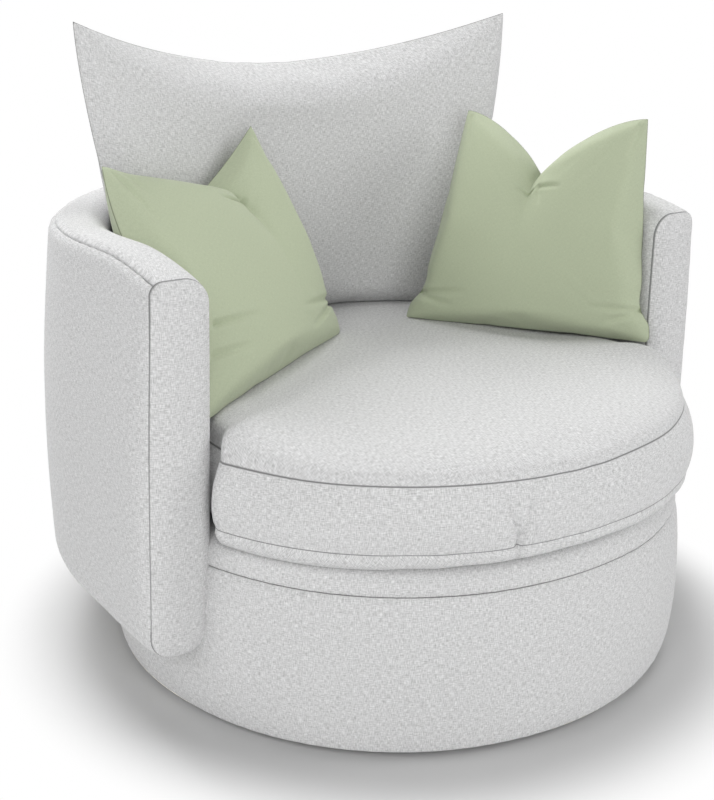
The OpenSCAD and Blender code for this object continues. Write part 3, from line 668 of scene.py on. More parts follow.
def pad_shell(piece):
    """Rolls the panel's edges in at its seams, and gives the padding its unevenness."""
    co = corners(piece)
    out, along, away = u_place(co)
    height, outside, inside = wall_shares(co, out)
    behind_front = co[:, 1] + arm_front
    from_front = np.minimum(behind_front, 0.5)
    to_seam = np.hypot(out - seam_point[0], co[:, 2] - seam_point[1])
    front = np.exp(-np.clip(from_front, 0, None) / front_fade)
    free = 1 - np.exp(-np.clip(from_front, 0, None) / free_from)
    swell = pull(*co.T) * free - seam_dip * np.maximum(front, np.exp(-to_seam / seam_fade)) + cloth_lift
    swell += gathers(along, to_seam, 0.020, 0.00035) * free
    swell += gathers(co[:, 2], from_front, 0.018, 0.0005) * free
    swell += outside * shell_fullness * np.sin(np.pi * height ** 0.8) ** 0.5 * clamp(from_front / full_from)
    mark_seams(piece, np.minimum(to_seam, from_front))
    co = co + corners(piece, "normal") * np.maximum(swell, -cloth_lift)[:, None]
    turn = turn_in(height, from_front) * outside + turn_out(height, from_front) * inside
    co[:, :2] -= away * turn[:, None]
    behind_front = co[:, 1] + arm_front
    rise = np.sin(clamp(behind_front / rise_end) * math.pi / 2)
    rise *= 1 - back_loss * clamp((behind_front - rise_end) / rise_fall)
    co[:, 2] += shell_rise * rise * height ** 6
    move_corners(piece, co)


def dress_panel(piece, node, pad, cloth, thickness=cloth_t):
    """Subdivides and pads a panel of the chair, gives its cloth a thickness and lays the weave on it."""
    apply(piece, "SUBSURF", levels=1, render_levels=1)
    pad(piece)
    apply(piece, "SOLIDIFY", thickness=thickness, offset=-1)
    lay_cloth(piece, cloth)
    finish_piece(piece, grey_cloth, "chair", "grey_cloth", node)


# %% Outer and inner panel
outer_panel = draw_chain("outer_panel", [(x, -arm_front, z) for x, z in outer_section()])
bend_round_chair(outer_panel)
inner_panel = draw_chain("inner_panel", [(x, -arm_front, z) for x, z in inner_section()])
bend_round_chair(inner_panel)
dress_panel(outer_panel, "shell_outer_cover", pad_shell, outer_cloth)
dress_panel(inner_panel, "shell_inner_cover", pad_shell, inner_cloth)

# %% [markdown]
# Behind the panels lies foam, which the frame has as plain layers with square edges. The cloth turns in
# at its seams and round the front edge, so the foam has to as well: a copy of each layer is merged into
# one mesh, and its edges are drawn in where the cloth is.

# %% Foam under the cloth
foam_ease, front_depth = 0.003, 0.012


def eased_foam(name, node, shift):
    """A copy of a foam layer, with its points moved by a function of their places."""
    piece = new_piece(name, nodes[node].data.copy())
    edit_all(piece)
    bpy.ops.mesh.remove_doubles(threshold=0.00005)
    bpy.ops.object.mode_set(mode="OBJECT")
    co = corners(piece)
    move_corners(piece, co + shift(co))
    finish_piece(piece, foam, "chair", "foam", node, angle=30)


def shell_foam_shift(co):
    """In round the front edge, and away from the seam on the outer top edge."""
    out, _, away = u_place(co)
    height, outside, _ = wall_shares(co, out)
    at_front = co[:, 1] < -arm_front + front_depth
    close = np.hypot(out - seam_point[0], co[:, 2] - seam_point[1]) < 0.008
    shift = np.zeros_like(co)
    shift[:, :2] = -away * (turn_in(height, np.where(at_front, 0, 1)) * outside + foam_ease * close)[:, None]
    shift[:, 2] = -foam_ease * close
    shift[:, 1] += foam_ease * at_front
    return shift


eased_foam("outer_foam", "shell_outer_padding", shell_foam_shift)
eased_foam("inner_foam", "shell_inner_padding", shell_foam_shift)

# %% [markdown]
# ## The arm facings
# A facing is a panel of its own, stuffed a little fuller than the arm behind it. The outline of the
# wall is extruded forward ring after ring. Then each ring is drawn in towards the middle line of the
# bar, more for each ring, so the facing swells like a thin cushion from its seam.


# %% Facings
facing_rings, ring_step, facing_puff = 12, 0.01, 0.0165
seam_tuck, last_draw = 0.003, 0.95


def arm_facing(name, node, side):
    """The facing of the right arm (side 1) or of the left arm (side -1)."""
    outline = inner_section()[:-1] + outer_section()[2:]
    piece = draw_chain(name, [(side * x, -arm_front, z) for x, z in outline + outline[:1]])
    bpy.ops.mesh.remove_doubles(threshold=0.0001)
    for _ in range(facing_rings):
        push(0, -ring_step, 0)
    bpy.ops.mesh.edge_face_add()
    close_form(piece)
    co = corners(piece)
    ring = np.round((-arm_front - co[:, 1]) / ring_step)
    draw = last_draw * clamp(ring / facing_rings) ** 1.6
    half = wall_top / 2
    height, outside, inside = wall_shares(co, np.abs(co[:, 0]))
    co[:, 0] -= side * (turn_in(height, 0 * height) * outside + turn_out(height, 0 * height) * inside)
    mid_x = side * (arm_in + half + wall_lean * 0.6 * (arm_top - co[:, 2]) / arm_h)
    mid_z = np.clip(co[:, 2], arm_foot + half, arm_top - half)
    co[:, 0] += (mid_x - co[:, 0]) * draw
    co[:, 2] += (mid_z - co[:, 2]) * draw
    uneven = pull(co[:, 0] * 2, 0 * draw, co[:, 2]) + gathers(co[:, 2], draw * half, 0.012, 0.0004)
    puff = facing_puff * (1 - (1 - draw) ** 3.2) + uneven * (1 - np.exp(-draw / 0.06))
    co[:, 1] = -arm_front + seam_tuck * (ring == 0) - puff
    mark_seams(piece, draw * half)
    move_corners(piece, co)
    apply(piece, "SOLIDIFY", thickness=cloth_t, offset=-1)
    lay_cloth(piece, lambda at, mid: at[:, [0, 2]])
    finish_piece(piece, grey_cloth, "chair", "grey_cloth", node)


arm_facing("facing_right", "arm_facing_right", 1)
arm_facing("facing_left", "arm_facing_left", -1)

# %% [markdown]
# ## The drum
# The base is a drum of cloth over wadding. It is turned: a circle is drawn at the hem, and extruded
# and scaled ring by ring up the swelling side. Where the arms hug it, the cloth is pressed flat
# against them. The border above the seam is a second panel, rolled over onto the deck.


# %% Turned panels
def turned(name, profile, segments=200):
    """A circle extruded and scaled through a list of (radius, height)."""
    bpy.ops.object.select_all(action="DESELECT")
    r, z = profile[0]
    bpy.ops.mesh.primitive_circle_add(vertices=segments, radius=r, location=(0, 0, z))
    piece = bpy.context.object
    piece.name = name
    bpy.ops.object.mode_set(mode="EDIT")
    for next_r, next_z in profile[1:]:
        push(0, 0, next_z - z)
        bpy.ops.transform.resize(value=(next_r / r, next_r / r, 1), center_override=(0, 0, 0))
        r, z = next_r, next_z
    close_form(piece)
    return piece


def wall_inside(z):
    """How far out the inside of the arms is at a height, round its foot too."""
    rise = np.clip(arm_foot + foot_in_r - z, 0, foot_in_r)
    foot = foot_in_r - np.sqrt(np.maximum(foot_in_r ** 2 - rise ** 2, 0))
    return foot_in - wall_lean * (z - arm_foot) / arm_h + foot


def press_into_arms(co):
    """Presses a drum panel in where it would reach into the arms."""
    out, _, away = u_place(co)
    limit = wall_inside(co[:, 2]) - 0.001
    held = (co[:, 1] > -arm_front + front_depth) & (co[:, 2] > arm_foot) & (out > limit)
    co[held, :2] -= away[held] * (out - limit)[held, None]
    return co


def drum_cloth(co, centre):
    """Cloth round the drum: turned distance one way, up and over the border the other way."""
    mid = np.arctan2(centre[:, 0], -centre[:, 1])
    own = np.arctan2(co[:, 0], -co[:, 1])
    own = mid + (own - mid + np.pi) % (2 * np.pi) - np.pi
    return np.stack([own * drum_r, co[:, 2] + np.maximum(drum_r - np.hypot(co[:, 0], co[:, 1]), 0)], 1)


def square_off(angle):
    """A round front that bulges a little at its two corners, as hand-cut foam does."""
    return 0.0045 * (1 - np.cos(4 * angle)) * (np.sin(angle) < 0)


def pad_drum(piece):
    """Draws the seam in and lets the cloth swell unevenly between seam and hem."""
    co = corners(piece)
    r = np.hypot(co[:, 0], co[:, 1])
    around = np.arctan2(co[:, 0], -co[:, 1]) * drum_r
    to_seam = np.abs(co[:, 2] - seam_z)
    swell = pull(*co.T) - seam_dip * np.exp(-to_seam / 0.005) + cloth_lift
    swell += gathers(around, to_seam, 0.022, 0.0003)
    swell += gathers(around + 0.7, np.abs(co[:, 2] - hem_z), 0.02, 0.0003)
    mark_seams(piece, to_seam)
    swell = np.maximum(swell, -cloth_lift) + square_off(np.arctan2(co[:, 1], co[:, 0])) * 0.8
    co[:, :2] *= (1 + swell / np.maximum(r, 0.1))[:, None]
    move_corners(piece, press_into_arms(co))


# %% Drum and border
side_steps, hem_turn = 22, 0.010
drum_profile = [(drum_r - 0.060, hem_z + 0.001), (drum_r - 0.020, hem_z), (drum_r - 0.008, hem_z)]
drum_profile += [(drum_r - 0.006 * (1 - t) ** 2, hem_z + hem_turn * t) for t in (0.2, 0.5, 1)]
for i in range(1, side_steps + 1):
    t = i / side_steps
    z = hem_z + hem_turn + (seam_z - hem_z - hem_turn) * t
    drum_profile.append((drum_r - drum_draw * t + drum_belly * math.sin(math.pi * t) ** 0.6, z))
drum_profile[-1:] = [(drum_profile[-1][0], z) for z in (seam_z - 0.002, seam_z)]
drum_profile.append((drum_profile[-1][0] - seam_allowance, seam_z + 0.001))
dress_panel(turned("drum_panel", drum_profile), "drum_cover", pad_drum, drum_cloth)

roll_at = (drum_r - drum_draw - roll_r, deck_z - roll_r)
roll_start = math.degrees(math.asin((seam_z - roll_at[1]) / roll_r))
roll_profile = [(drum_r - drum_draw - seam_allowance, seam_z - 0.001), (drum_r - drum_draw, seam_z)]
roll_profile += arc(roll_at, roll_r + 0.001, roll_start + 2, 90, 12)
roll_profile += [(roll_at[0] - 0.030, deck_z + 0.001), (border_high.x - 0.075, deck_z)]
dress_panel(turned("border_panel", roll_profile), "border_cover", pad_drum, drum_cloth, thickness=0.002)


def drum_foam_shift(co):
    """In from the seam round the drum."""
    r = np.hypot(co[:, 0], co[:, 1])
    close = (np.abs(co[:, 2] - seam_z) < 0.005) & (r > drum_r - 0.03)
    return -co * np.array([1, 1, 0]) * (foam_ease * close / np.maximum(r, 0.1))[:, None]


eased_foam("drum_foam", "drum_padding", drum_foam_shift)
eased_foam("roll_foam", "border_roll", drum_foam_shift)

# %% [markdown]
# ## The platform under the seat, and the underside
# With the seat cushion lifted out, a black platform cloth shows, sewn over a thin pad on the springs.
# It is turned like the drum, closed in the middle, and dished a little where people have sat. Below,
# a spun lining is stretched under the drum's floor, inside the hem ring, and a disc of felt with a soft
# edge meets the floor.


# %% Platform pad and felt
def soft_disc(name, low, high, edge, dish):
    """A disc of padding between two heights, with a rounded edge and a dished top."""
    r, hole = high.x, 0.004
    profile = [(hole, low.z), (r * 0.5, low.z), (r - edge, low.z), (r - edge * 0.3, low.z + edge * 0.3),
               (r, low.z + edge), (r, high.z - edge), (r - edge * 0.3, high.z - edge * 0.3),
               (r - edge, high.z)]
    for share in 1 - np.arange(1, 17) / 16:
        profile.append((max((r - edge) * share, hole), high.z - dish * (1 - share * share) ** 2))
    piece = turned(name, profile, segments=128)
    edit_all(piece)
    bpy.ops.mesh.fill_holes(sides=0)
    close_form(piece)
    return piece


pad_low, pad_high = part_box("deck_pad")
platform = soft_disc("platform_pad", pad_low, pad_high - Vector((0, 0, 0.001)), 0.004, 0.006)
co = corners(platform)
around = np.arctan2(co[:, 1], co[:, 0])
rim = pad_high.x - np.hypot(co[:, 0], co[:, 1])
top = co[:, 2] > (pad_low.z + pad_high.z) / 2
uneven = gathers(around * pad_high.x, rim, 0.03, 0.0006) + pull(co[:, 0], co[:, 1], 0 * rim)
co[:, 2] += (uneven - 0.002) * top
move_corners(platform, co)
mark_seams(platform, np.full(len(co), 1.0))
lay_cloth(platform, lambda at, mid: at[:, :2])
finish_piece(platform, platform_cloth, "chair", "black_cloth", "deck_pad")

felt_disc = soft_disc("felt_disc", *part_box("floor_felt"), 0.0012, 0.0)
finish_piece(felt_disc, felt, "floor_base", "felt", "floor_felt")

# %% Lining under the chair
sheet_low, sheet_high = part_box("dust_cover")
inner_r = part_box("plinth_disc")[1].x + 0.020
outer_r = sheet_high.x
rings, lining_t, sag, wave, staples = 14, 0.0008, 0.0018, 0.0028, 28
profile = [(inner_r + (outer_r - inner_r) * i / rings, sheet_low.z + 0.0005) for i in range(rings + 1)]
dust_sheet = turned("dust_sheet", profile, segments=160)
co = corners(dust_sheet)
share = (np.hypot(co[:, 0], co[:, 1]) - inner_r) / (outer_r - inner_r)
staple_wave = np.cos(np.arctan2(co[:, 1], co[:, 0]) * staples)
co[:, 2] -= sag * np.sin(np.pi * share) ** 2 + wave * staple_wave * share ** 3 * (1 - share)
move_corners(dust_sheet, co)
apply(dust_sheet, "SOLIDIFY", thickness=lining_t, offset=0)
finish_piece(dust_sheet, lining, "chair", "black_cloth", "dust_cover")

# %% [markdown]
# ## Filling a cushion
# A cushion is cloth sewn shut and stuffed. The computer can do the stuffing: the sewn cloth is made as
# a closed mesh, a little slack, and the Cloth simulation blows it up with air pressure while gravity
# is off. Where the seams hold the cloth back it wrinkles by itself, as on a real cushion.


# %% Blow up a sewn form
def fill_with_air(piece, pressure, frames, tension, bending):
    """Runs Cloth on a closed form and keeps the result."""
    modifier = piece.modifiers.new("filling", "CLOTH")
    settings = modifier.settings
    settings.quality = 6
    settings.mass = 0.3
    settings.tension_stiffness = settings.compression_stiffness = tension
    settings.shear_stiffness = tension / 3
    settings.bending_stiffness = bending
    settings.use_pressure = True
    settings.uniform_pressure_force = pressure
    settings.effector_weights.gravity = 0
    modifier.collision_settings.use_collision = False
    modifier.point_cache.frame_start = 1
    modifier.point_cache.frame_end = frames
    for step in range(1, frames + 1):
        scene.frame_set(step)
    only(piece)
    bpy.ops.object.modifier_apply(modifier=modifier.name)
    scene.frame_set(1)


def sewn_pair(name, width, height, columns, rows):
    """Two flat panels of that size, sewn together all round, as one closed mesh at the origin."""
    bm = bmesh.new()
    uv = bm.loops.layers.uv.new("UVMap")
    xs = np.linspace(-width / 2, width / 2, columns + 1)
    zs = np.linspace(-height / 2, height / 2, rows + 1)
    grid = {}
    for side in (1, -1):
        for i, x in enumerate(xs):
            for j, z in enumerate(zs):
                if side < 0 and (i in (0, columns) or j in (0, rows)):
                    grid[side, i, j] = grid[1, i, j]
                    continue
                puff = 0.02 * (1 - (2 * x / width) ** 4) * (1 - (2 * z / height) ** 4)
                grid[side, i, j] = bm.verts.new((x, -side * puff, z))
    for side in (1, -1):
        shift = 0 if side > 0 else 3
        for i in range(columns):
            for j in range(rows):
                quad = [grid[side, a, b] for a, b in ((i, j), (i + 1, j), (i + 1, j + 1), (i, j + 1))]
                for loop in bm.faces.new(quad[::side]).loops:
                    loop[uv].uv = (loop.vert.co.x + shift, loop.vert.co.z)
    return sewn(name, bm)


# %% [markdown]
# ## The seat cushion
# The seat has a top and a bottom panel joined by a border strip, so it has two seams. Its plan follows
# the inside of the shell and ends in a round lip in front of the arms. The panels are grids bent onto
# that plan, with a crown already started, and air fills them out. Flat panels would have to travel
# further to fill, and would leave their plan on the way.


# %% Plan and levels of the seat
lip_r = -seat_low.y + 0.001
lip_y = arm_front + 0.0116
side_x = arm_in - 0.0035
seam_low = deck_z + 0.024
seam_high = seam_low + 0.097
seat_draw, seat_under, seat_bulge, seat_crown = 0.019, 0.006, 0.014, 0.038


def side_reach(angle):
    """How far it is from the swivel axis to the flat side of the seat in each direction."""
    return side_x / np.maximum(np.abs(np.cos(angle)), 1e-6)


def plan_radius(angle):
    """How far the plan reaches from the swivel axis in each direction."""
    s, side = np.sin(angle), side_reach(angle)
    b = s * back_centre
    back = b + np.sqrt(np.maximum(b * b + side_x ** 2 - back_centre ** 2, 0))
    inside = np.where(side * s > back_centre, back, np.minimum(side, lip_r))
    t = smooth(clamp((-inside * s - lip_y + 0.004) / 0.008))
    return inside * (1 - t) + (lip_r + square_off(angle) - 0.002) * t


def lip_share(angle):
    """1 in front of the arms, where the round lip hangs over the drum, and 0 between them."""
    return smooth(clamp((-np.minimum(side_reach(angle), lip_r) * np.sin(angle) - lip_y) / 0.02))


def disc_grid(n):
    """A square grid bent onto a disc: radius and angle of each point."""
    a = np.linspace(-1, 1, n + 1)
    x, y = np.meshgrid(a, a, indexing="ij")
    u = x * np.sqrt(1 - y * y / 2)
    v = y * np.sqrt(1 - x * x / 2)
    return np.hypot(u, v), np.arctan2(v, u)


def top_profile(share):
    """Distance in from the plan and height of the top panel, by share of the way from middle to seam."""
    return seat_draw * share, seam_high + seat_crown * (1 - share ** 2) ** 0.20


def base_profile(share):
    """The same for the bottom panel, which lies flat and rolls up to its seam."""
    roll, drop, flat_to, full_turn = 0.012, 0.0215, 0.93, math.radians(150)
    turn = clamp((share - flat_to) / (1 - flat_to)) * full_turn
    inset = (seat_under + roll / 2) * share - 1.6 * roll * np.sin(turn) + roll / 2 * clamp(share / flat_to)
    return inset, seam_low - drop + (1 - np.cos(turn)) * drop / (1 - math.cos(full_turn))


# %% Sewn form of the seat
def seat_form(name, n, rings_out, border_rows):
    """The seat's sewn cloth: a bent grid in the middle of each panel, rings round it, and a border."""
    radius, angle = disc_grid(n)
    core = 0.62
    rim = [(i, 0) for i in range(n)] + [(n, j) for j in range(n)]
    rim += [(i, n) for i in range(n, 0, -1)] + [(0, j) for j in range(n, 0, -1)]
    rim_angle = np.array([angle[k] for k in rim])
    shares = core + (1 - core) * (1 - (1 - np.linspace(0, 1, rings_out + 1)[1:]) ** 1.5)
    bm = bmesh.new()
    uv = bm.loops.layers.uv.new("UVMap")
    count = len(rim)

    def panel(profile, flip):
        table = np.linspace(0, 1, 400)
        inset, height = [np.broadcast_to(a, table.shape) for a in profile(table)]
        out = lip_r * table - inset
        length = np.concatenate([[0], np.cumsum(np.hypot(np.diff(out), np.diff(height)))])
        shift = 3 if flip else 0
        flat = {}

        def vertex(share, w):
            inset, height = profile(np.array(share))
            r = plan_radius(np.array(w)) * share - float(inset)
            v = bm.verts.new((r * math.cos(w), r * math.sin(w), float(height)))
            s = float(np.interp(share, table, length))
            flat[v] = (s * math.cos(w), s * math.sin(w) + shift)
            return v

        grid = {(i, j): vertex(core * radius[i, j], angle[i, j])
                for i in range(n + 1) for j in range(n + 1)}
        rows = [[grid[k] for k in rim]] + [[vertex(share, w) for w in rim_angle] for share in shares]
        quads = [[grid[i, j], grid[i + 1, j], grid[i + 1, j + 1], grid[i, j + 1]]
                 for i in range(n) for j in range(n)]
        quads += [[low[k], high[k], high[(k + 1) % count], low[(k + 1) % count]]
                  for low, high in zip(rows, rows[1:]) for k in range(count)]
        for quad in quads:
            for loop in bm.faces.new(quad[::-1] if flip else quad).loops:
                loop[uv].uv = flat[loop.vert]
        return rows[-1]

    top, base = panel(top_profile, False), panel(base_profile, True)
    for low, high in zip(base, top):
        low.co.z, high.co.z = seam_low, seam_high
    rings = [base]
    for row in range(1, border_rows):
        t = row / border_rows
        inset = seat_under * (1 - t) + seat_draw * t - seat_bulge * math.sin(math.pi * t) ** 0.8
        r = plan_radius(rim_angle) - inset
        z = seam_low + (seam_high - seam_low) * t
        rings.append([bm.verts.new((a * math.cos(w), a * math.sin(w), z)) for a, w in zip(r, rim_angle)])
    rings.append(top)
    along = 0.0
    rise = (seam_high - seam_low) / border_rows
    for k in range(count):
        after = (k + 1) % count
        step = (base[after].co - base[k].co).length
        for row in range(border_rows):
            face = bm.faces.new([rings[row][k], rings[row][after], rings[row + 1][after], rings[row + 1][k]])
            for loop, (du, dv) in zip(face.loops, ((0, 0), (1, 0), (1, 1), (0, 1))):
                loop[uv].uv = (along + du * step, 6 + (row + dv) * rise)
        along += step
    bm.verts.index_update()
    seam = sorted(v.index for v in base + top)
    bmesh.ops.recalc_face_normals(bm, faces=bm.faces)
    return sewn(name, bm), seam


# %% [markdown]
# Air alone would also pull the rims in, as on a balloon, so only part of each point's way is kept,
# and none of it is longer than a stuffed seat's cloth gives. The seams are then drawn in, and two
# creases run up the border from a place where the bottom seam was caught. Beside the arms the seat is
# squeezed, and its top swells there.


# %% Fill the seat
furthest, kept_way, kept_at_seam = 0.014, np.array([0.3, 0.3, 0.5]), 0.3
seat_piece, seat_seams = seat_form("seat", 52, 16, 12)
before = corners(seat_piece)
fill_with_air(seat_piece, 2.0, 18, tension=30, bending=1.5)
move = corners(seat_piece) - before
size = np.linalg.norm(move, axis=1)
print(f"seat moved up to {size.max():.3f} m")
move *= np.minimum(1, furthest / np.maximum(size, 1e-9))[:, None] * kept_way
move[seat_seams] *= kept_at_seam
move_corners(seat_piece, before + move)
distance = np.full(len(before), 0.0095)
distance[seat_seams] = 0
mark_seams(seat_piece, distance)
apply(seat_piece, "SUBSURF", levels=1, render_levels=1)


# %% Seams, creases and lip
lip_sag, lip_roll, seat_squeeze, seat_seam_dip = 0.017, 0.004, 0.019, 0.0025
caught_at, left_head, right_head = -104.4, -107.6, -101.6
gather_reach, crease_w = 0.018, 0.0045
squeeze_x, squeeze_y, reach_x, reach_y = 0.42, -0.15, 0.10, 0.12


def crease(co, foot, head, depth):
    """Gathers the border towards a line between two places, each an angle in degrees and a height.

    Returns how far each point is drawn in."""
    around = np.arctan2(co[:, 1], co[:, 0])
    r = np.hypot(co[:, 0], co[:, 1])
    t = clamp((co[:, 2] - foot[1]) / (head[1] - foot[1]))
    off = (around - np.radians(foot[0] + (head[0] - foot[0]) * t)) * lip_r
    fade = (1 - t) ** 0.4 * (0.45 + 0.55 * clamp(t / 0.15))
    fade *= clamp(1 - (foot[1] - co[:, 2]) / 0.018) * (r > lip_r - 0.05)
    gather = -0.6 * off * np.exp(-(off / gather_reach) ** 2) * fade
    around += gather / lip_r
    co[:, 0], co[:, 1] = r * np.cos(around), r * np.sin(around)
    return depth * fade * np.exp(-np.abs(off + gather) / crease_w)


co = corners(seat_piece)
near = np.empty(len(co))
seat_piece.data.attributes["near_seam"].data.foreach_get("value", near)
r = np.hypot(co[:, 0], co[:, 1])
draw_in = seat_seam_dip * clamp(near) ** 2
draw_in += crease(co, (caught_at, seam_low), (left_head, seam_high - 0.006), 0.012)
draw_in += crease(co, (caught_at, seam_low), (right_head, seam_high - 0.004), 0.0115)
draw_in -= pull(co[:, 0] * 1.3, co[:, 1] * 1.3, co[:, 2]) * 1.2
below = clamp((seam_low + 0.004 - co[:, 2]) / 0.020) * lip_share(np.arctan2(co[:, 1], co[:, 0]))
draw_in -= lip_roll * np.sin(np.pi * below) * (r > lip_r - 0.03)
co[:, 2] -= lip_sag * below * clamp((r - lip_r + 0.045) / 0.025)
co[:, :2] *= (1 - draw_in / np.maximum(r, 0.2))[:, None]
co[:, 2] += pull(co[:, 1], co[:, 0], co[:, 2]) * 1.2 * (co[:, 2] > seam_high)
squeezed = np.exp(-((np.abs(co[:, 0]) - squeeze_x) / reach_x) ** 2 - ((co[:, 1] - squeeze_y) / reach_y) ** 2)
co[:, 2] += seat_squeeze * squeezed * clamp((co[:, 2] - seam_high) / 0.02)
move_corners(seat_piece, co)
finish_piece(seat_piece, grey_cloth, "seat_cushion", "grey_cloth", "seat_cushion")
print(f"seat crown at {co[:, 2].max():.4f} m, underside at {co[:, 2].min():.4f} m")

# %% [markdown]
# ## The back pillow
# Two panels sewn round their edges and blown up make a pillow with pointed corners. It is made flat,
# where the simulation works best, and then bent: each point of the flat pillow has a place across, a
# place up and a depth, and these are carried onto the curve of the shell. The foot is pressed flat
# where it would sink into the seat.


# %% Lying on the seat
mesh = seat_piece.data
seat_surface = BVHTree.FromPolygons([v.co for v in mesh.vertices], [list(p.vertices) for p in mesh.polygons])


def settle_on_seat(co, gap=0.001):
    """Presses what would sink into the seat flat on its surface."""
    for k in np.nonzero(co[:, 2] < seat_high.z + 0.02)[0]:
        hit = seat_surface.ray_cast(Vector((co[k, 0], co[k, 1], 1.0)), Vector((0, 0, -1)))[0]
        co[k, 2] = max(co[k, 2], (hit.z if hit else seam_high) + gap)
    return co


# %% Puffed pairs
def puffed_pair(name, width, height, columns, rows, bending):
    """Sews, fills and refines a pair of panels.

    Returns the piece, the depth of each point from -1 to 1, its places across (-1 to 1) and up (0 to 1)
    with only a quarter of the edges' draw, and its distance from the sewn rim."""
    piece = sewn_pair(name, width, height, columns, rows)
    held = piece.data.attributes.new("flat_place", "FLOAT_VECTOR", "POINT")
    held.data.foreach_set("vector", corners(piece).ravel())
    fill_with_air(piece, 1.5, 22, tension=25, bending=bending)
    apply(piece, "SUBSURF", levels=1, render_levels=1)
    held = piece.data.attributes["flat_place"]
    flat = np.empty(len(piece.data.vertices) * 3, np.float32)
    held.data.foreach_get("vector", flat)
    piece.data.attributes.remove(held)
    flat = flat.reshape(-1, 3).astype(float)
    puffed = corners(piece)
    print(f"{name} puffed up to {np.ptp(puffed[:, 1]):.3f} m")
    drawn = flat + (puffed - flat) * 0.25
    u, v = drawn[:, 0] / np.abs(drawn[:, 0]).max(), drawn[:, 2] / np.abs(drawn[:, 2]).max()
    to_rim = np.minimum(width / 2 - np.abs(flat[:, 0]), height / 2 - np.abs(flat[:, 2]))
    return piece, puffed[:, 1] / max(np.abs(puffed[:, 1]).max(), 1e-6), u, (v + 1) / 2, to_rim


def fold_lines(s, t, lines, size, width=0.0055):
    """How deep short creases are at places in a cushion.

    Each runs from one (s, t) to another, in shares of the cushion's size, and has a depth."""
    depth = np.zeros(len(s))
    at = np.stack([s * size[0], t * size[1]], 1)
    for s0, t0, s1, t1, deep in lines:
        a, b = np.array([s0 * size[0], t0 * size[1]]), np.array([s1 * size[0], t1 * size[1]])
        along = clamp((at - a) @ (b - a) / ((b - a) @ (b - a)))
        off = np.linalg.norm(at - a - along[:, None] * (b - a), axis=1)
        line = np.exp(-(off / width) ** 2) - 0.35 * np.exp(-(off / width / 2.2) ** 2)
        depth += deep * (1 - along) ** 0.6 * line
    return depth


# %% Back pillow
pillow_t, pillow_h, pillow_ear = 0.205, 0.470, 0.078
pillow_half_w, pillow_splay, pillow_lean = arm_in - 0.070, 0.068, 0.022
pillow_bend, top_flatter = arm_in - 0.017, 0.4
pillow_back_y = back_centre + arm_in - 0.001
pillow_cut = (0.86, 0.58)
pillow_folds = [(0.60, 0.02, 0.605, 0.13, 0.006), (0.72, 0.02, 0.735, 0.12, 0.006),
                (0.32, 0.02, 0.30, 0.12, 0.005), (0.02, 0.98, 0.10, 0.86, 0.004),
                (0.98, 0.98, 0.90, 0.86, 0.004)]

pillow, depth, u, t, to_rim = puffed_pair("pillow", *pillow_cut, 96, 66, 0.4)
thick = depth * pillow_t / 2 + fold_lines((u + 1) / 2, t, pillow_folds, pillow_cut) * (depth < 0)
x = u * (pillow_half_w + pillow_splay * smooth(t))
round_r = pillow_bend + top_flatter * t * t
mid_y = pillow_back_y - pillow_t / 2 - pillow_lean * t ** 3 - x * x / (2 * round_r)
low = seat_high.z - 0.030
high = seat_high.z + pillow_h + pillow_ear * u * u
place = np.stack([x, mid_y + thick, low * (1 - t) + high * t], 1)
move_corners(pillow, settle_on_seat(place))
mark_seams(pillow, to_rim)
finish_piece(pillow, grey_cloth, "back_pillow", "grey_cloth", "back_pillow")


# %% [markdown]
# ## The scatter cushions
# Each is a square of sage green cloth, puffed flat like the back pillow and then stood on one edge.
# A chop with the side of the hand has left a deep notch in the top edge, with an ear on each side.
# It could be sculpted, but a rule that drops the top edge towards one place, and laps the cloth over
# there, serves both cushions, and each has its own place and depth.


# %% Scatter cushions
scatter_w, scatter_t = 0.45, 0.130
fold_area, fold_gain = (0.42, 0.38), 1.5
skirt, skirt_top, skirt_fade = 0.055, 0.15, 0.08
waist, waist_at, waist_reach = 0.022, 0.19, 0.06
foot_tuck, foot_reach = 0.03, 0.03
lap_edge, lap_reach, lap_down, ahead_down = 0.018, 0.10, 0.07, 0.08


def chop(s, t, notch):
    """The chop in a top edge.

    Returns how near the chop each place is, how far it drops, and its shift across and forward where
    cloth laps over."""
    at, deep, left_bend, right_bend, lap, ahead = notch
    near = clamp(1 - np.abs(s - at) / np.where(s > at, 1 - at, at))
    bend = near ** np.where(s > at, right_bend, left_bend)
    drop = deep * (0.84 * bend + 0.16 * near ** 12) * t ** 2.4
    lapped = -np.tanh((s - at) / lap_edge) * np.exp(-np.abs(s - at) / lap_reach)
    from_top = 1 - t
    return (near, drop, lap * lapped * np.exp(-from_top / lap_down),
            ahead * lapped * np.exp(-from_top / ahead_down))


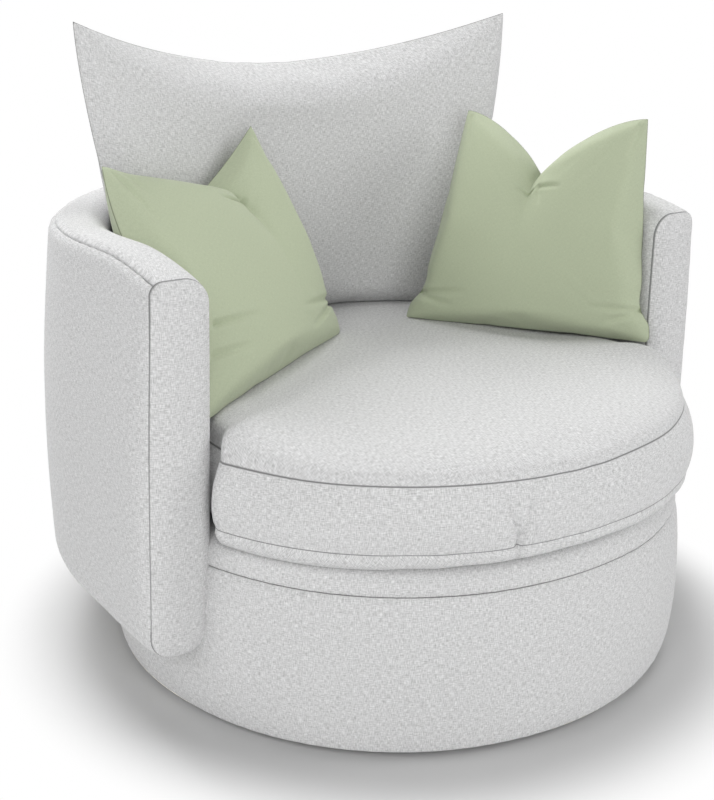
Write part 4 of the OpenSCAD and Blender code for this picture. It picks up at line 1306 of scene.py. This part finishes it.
def scatter(name, node, body, corner_places, notch, folds, left_belly=0.0):
    """A puffed square between four corner places, bottom left, bottom right, top right, top left."""
    cushion, depth, u, t, to_rim = puffed_pair(name, scatter_w, scatter_w, 64, 64, 0.3)
    splay = skirt * smooth(clamp((skirt_top - t) / skirt_fade))
    splay -= waist * np.exp(-((t - waist_at) / waist_reach) ** 2) + foot_tuck * clamp(1 - t / foot_reach) ** 2
    s = (u * (1 + splay) + 1) / 2
    s -= left_belly * (1 - s) * np.sin(np.pi * clamp(t) ** 2)
    bl, br, tr, tl = [np.array(c) for c in corner_places]
    low = bl + (br - bl) * s[:, None]
    high = tl + (tr - tl) * s[:, None]
    across = br - bl + tr - tl
    out = np.cross(across, tl - bl + tr - br)
    out /= np.linalg.norm(out)
    near, drop, lap, ahead = chop((u + 1) / 2, t, notch)
    thick = -depth * scatter_t / 2 * (1 - 0.35 * near ** 4 * t ** 3)
    thick -= fold_gain * fold_lines(s, t, folds, fold_area) * (depth < 0)
    place = low + (high - low) * t[:, None] + out * (thick + ahead)[:, None]
    place += across / np.linalg.norm(across) * lap[:, None]
    place[:, 2] -= drop
    move_corners(cushion, settle_on_seat(place))
    mark_seams(cushion, to_rim)
    finish_piece(cushion, green_cloth, body, "green_cloth", node)


seat_z = seat_high.z
right_corners = [(0.172, 0.190, seat_z - 0.001), (0.428, -0.158, seat_z + 0.005),
                 (0.436, -0.118, seat_z + 0.393), (0.301, 0.205, seat_z + 0.380)]
left_corners = [(-0.425, -0.110, seat_z), (-0.007, 0.169, seat_z),
                (-0.120, 0.275, seat_z + 0.370), (-0.440, 0.194, seat_z + 0.334)]
right_folds = [(0.47, 0.79, 0.38, 0.76, 0.005), (0.52, 0.78, 0.62, 0.74, 0.006),
               (0.50, 0.80, 0.52, 0.66, 0.006), (0.02, 0.13, 0.20, 0.10, 0.007),
               (0.01, 0.14, 0.26, 0.17, 0.006), (0.99, 0.14, 0.84, 0.08, 0.007),
               (0.99, 0.15, 0.78, 0.15, 0.006), (0.04, 0.97, 0.10, 0.84, 0.004),
               (0.97, 0.96, 0.93, 0.82, 0.004)]
left_folds = [(1.00, 0.17, 0.66, 0.20, 0.008), (0.99, 0.16, 0.70, 0.10, 0.008),
              (0.12, 0.29, 0.38, 0.25, 0.007), (0.08, 0.19, 0.28, 0.16, 0.006),
              (0.70, 0.83, 0.50, 0.83, 0.007), (0.03, 0.97, 0.07, 0.72, 0.006),
              (0.06, 0.98, 0.13, 0.82, 0.004), (0.97, 0.96, 0.95, 0.82, 0.004)]
scatter("scatter_a", "scatter_right", "scatter_right", right_corners,
        (0.45, 0.115, 1.7, 1.8, 0.0, 0.0), right_folds)
scatter("scatter_b", "scatter_left", "scatter_left", left_corners,
        (0.70, 0.112, 1.0, 1.0, 0.046, 0.028), left_folds, left_belly=0.05)
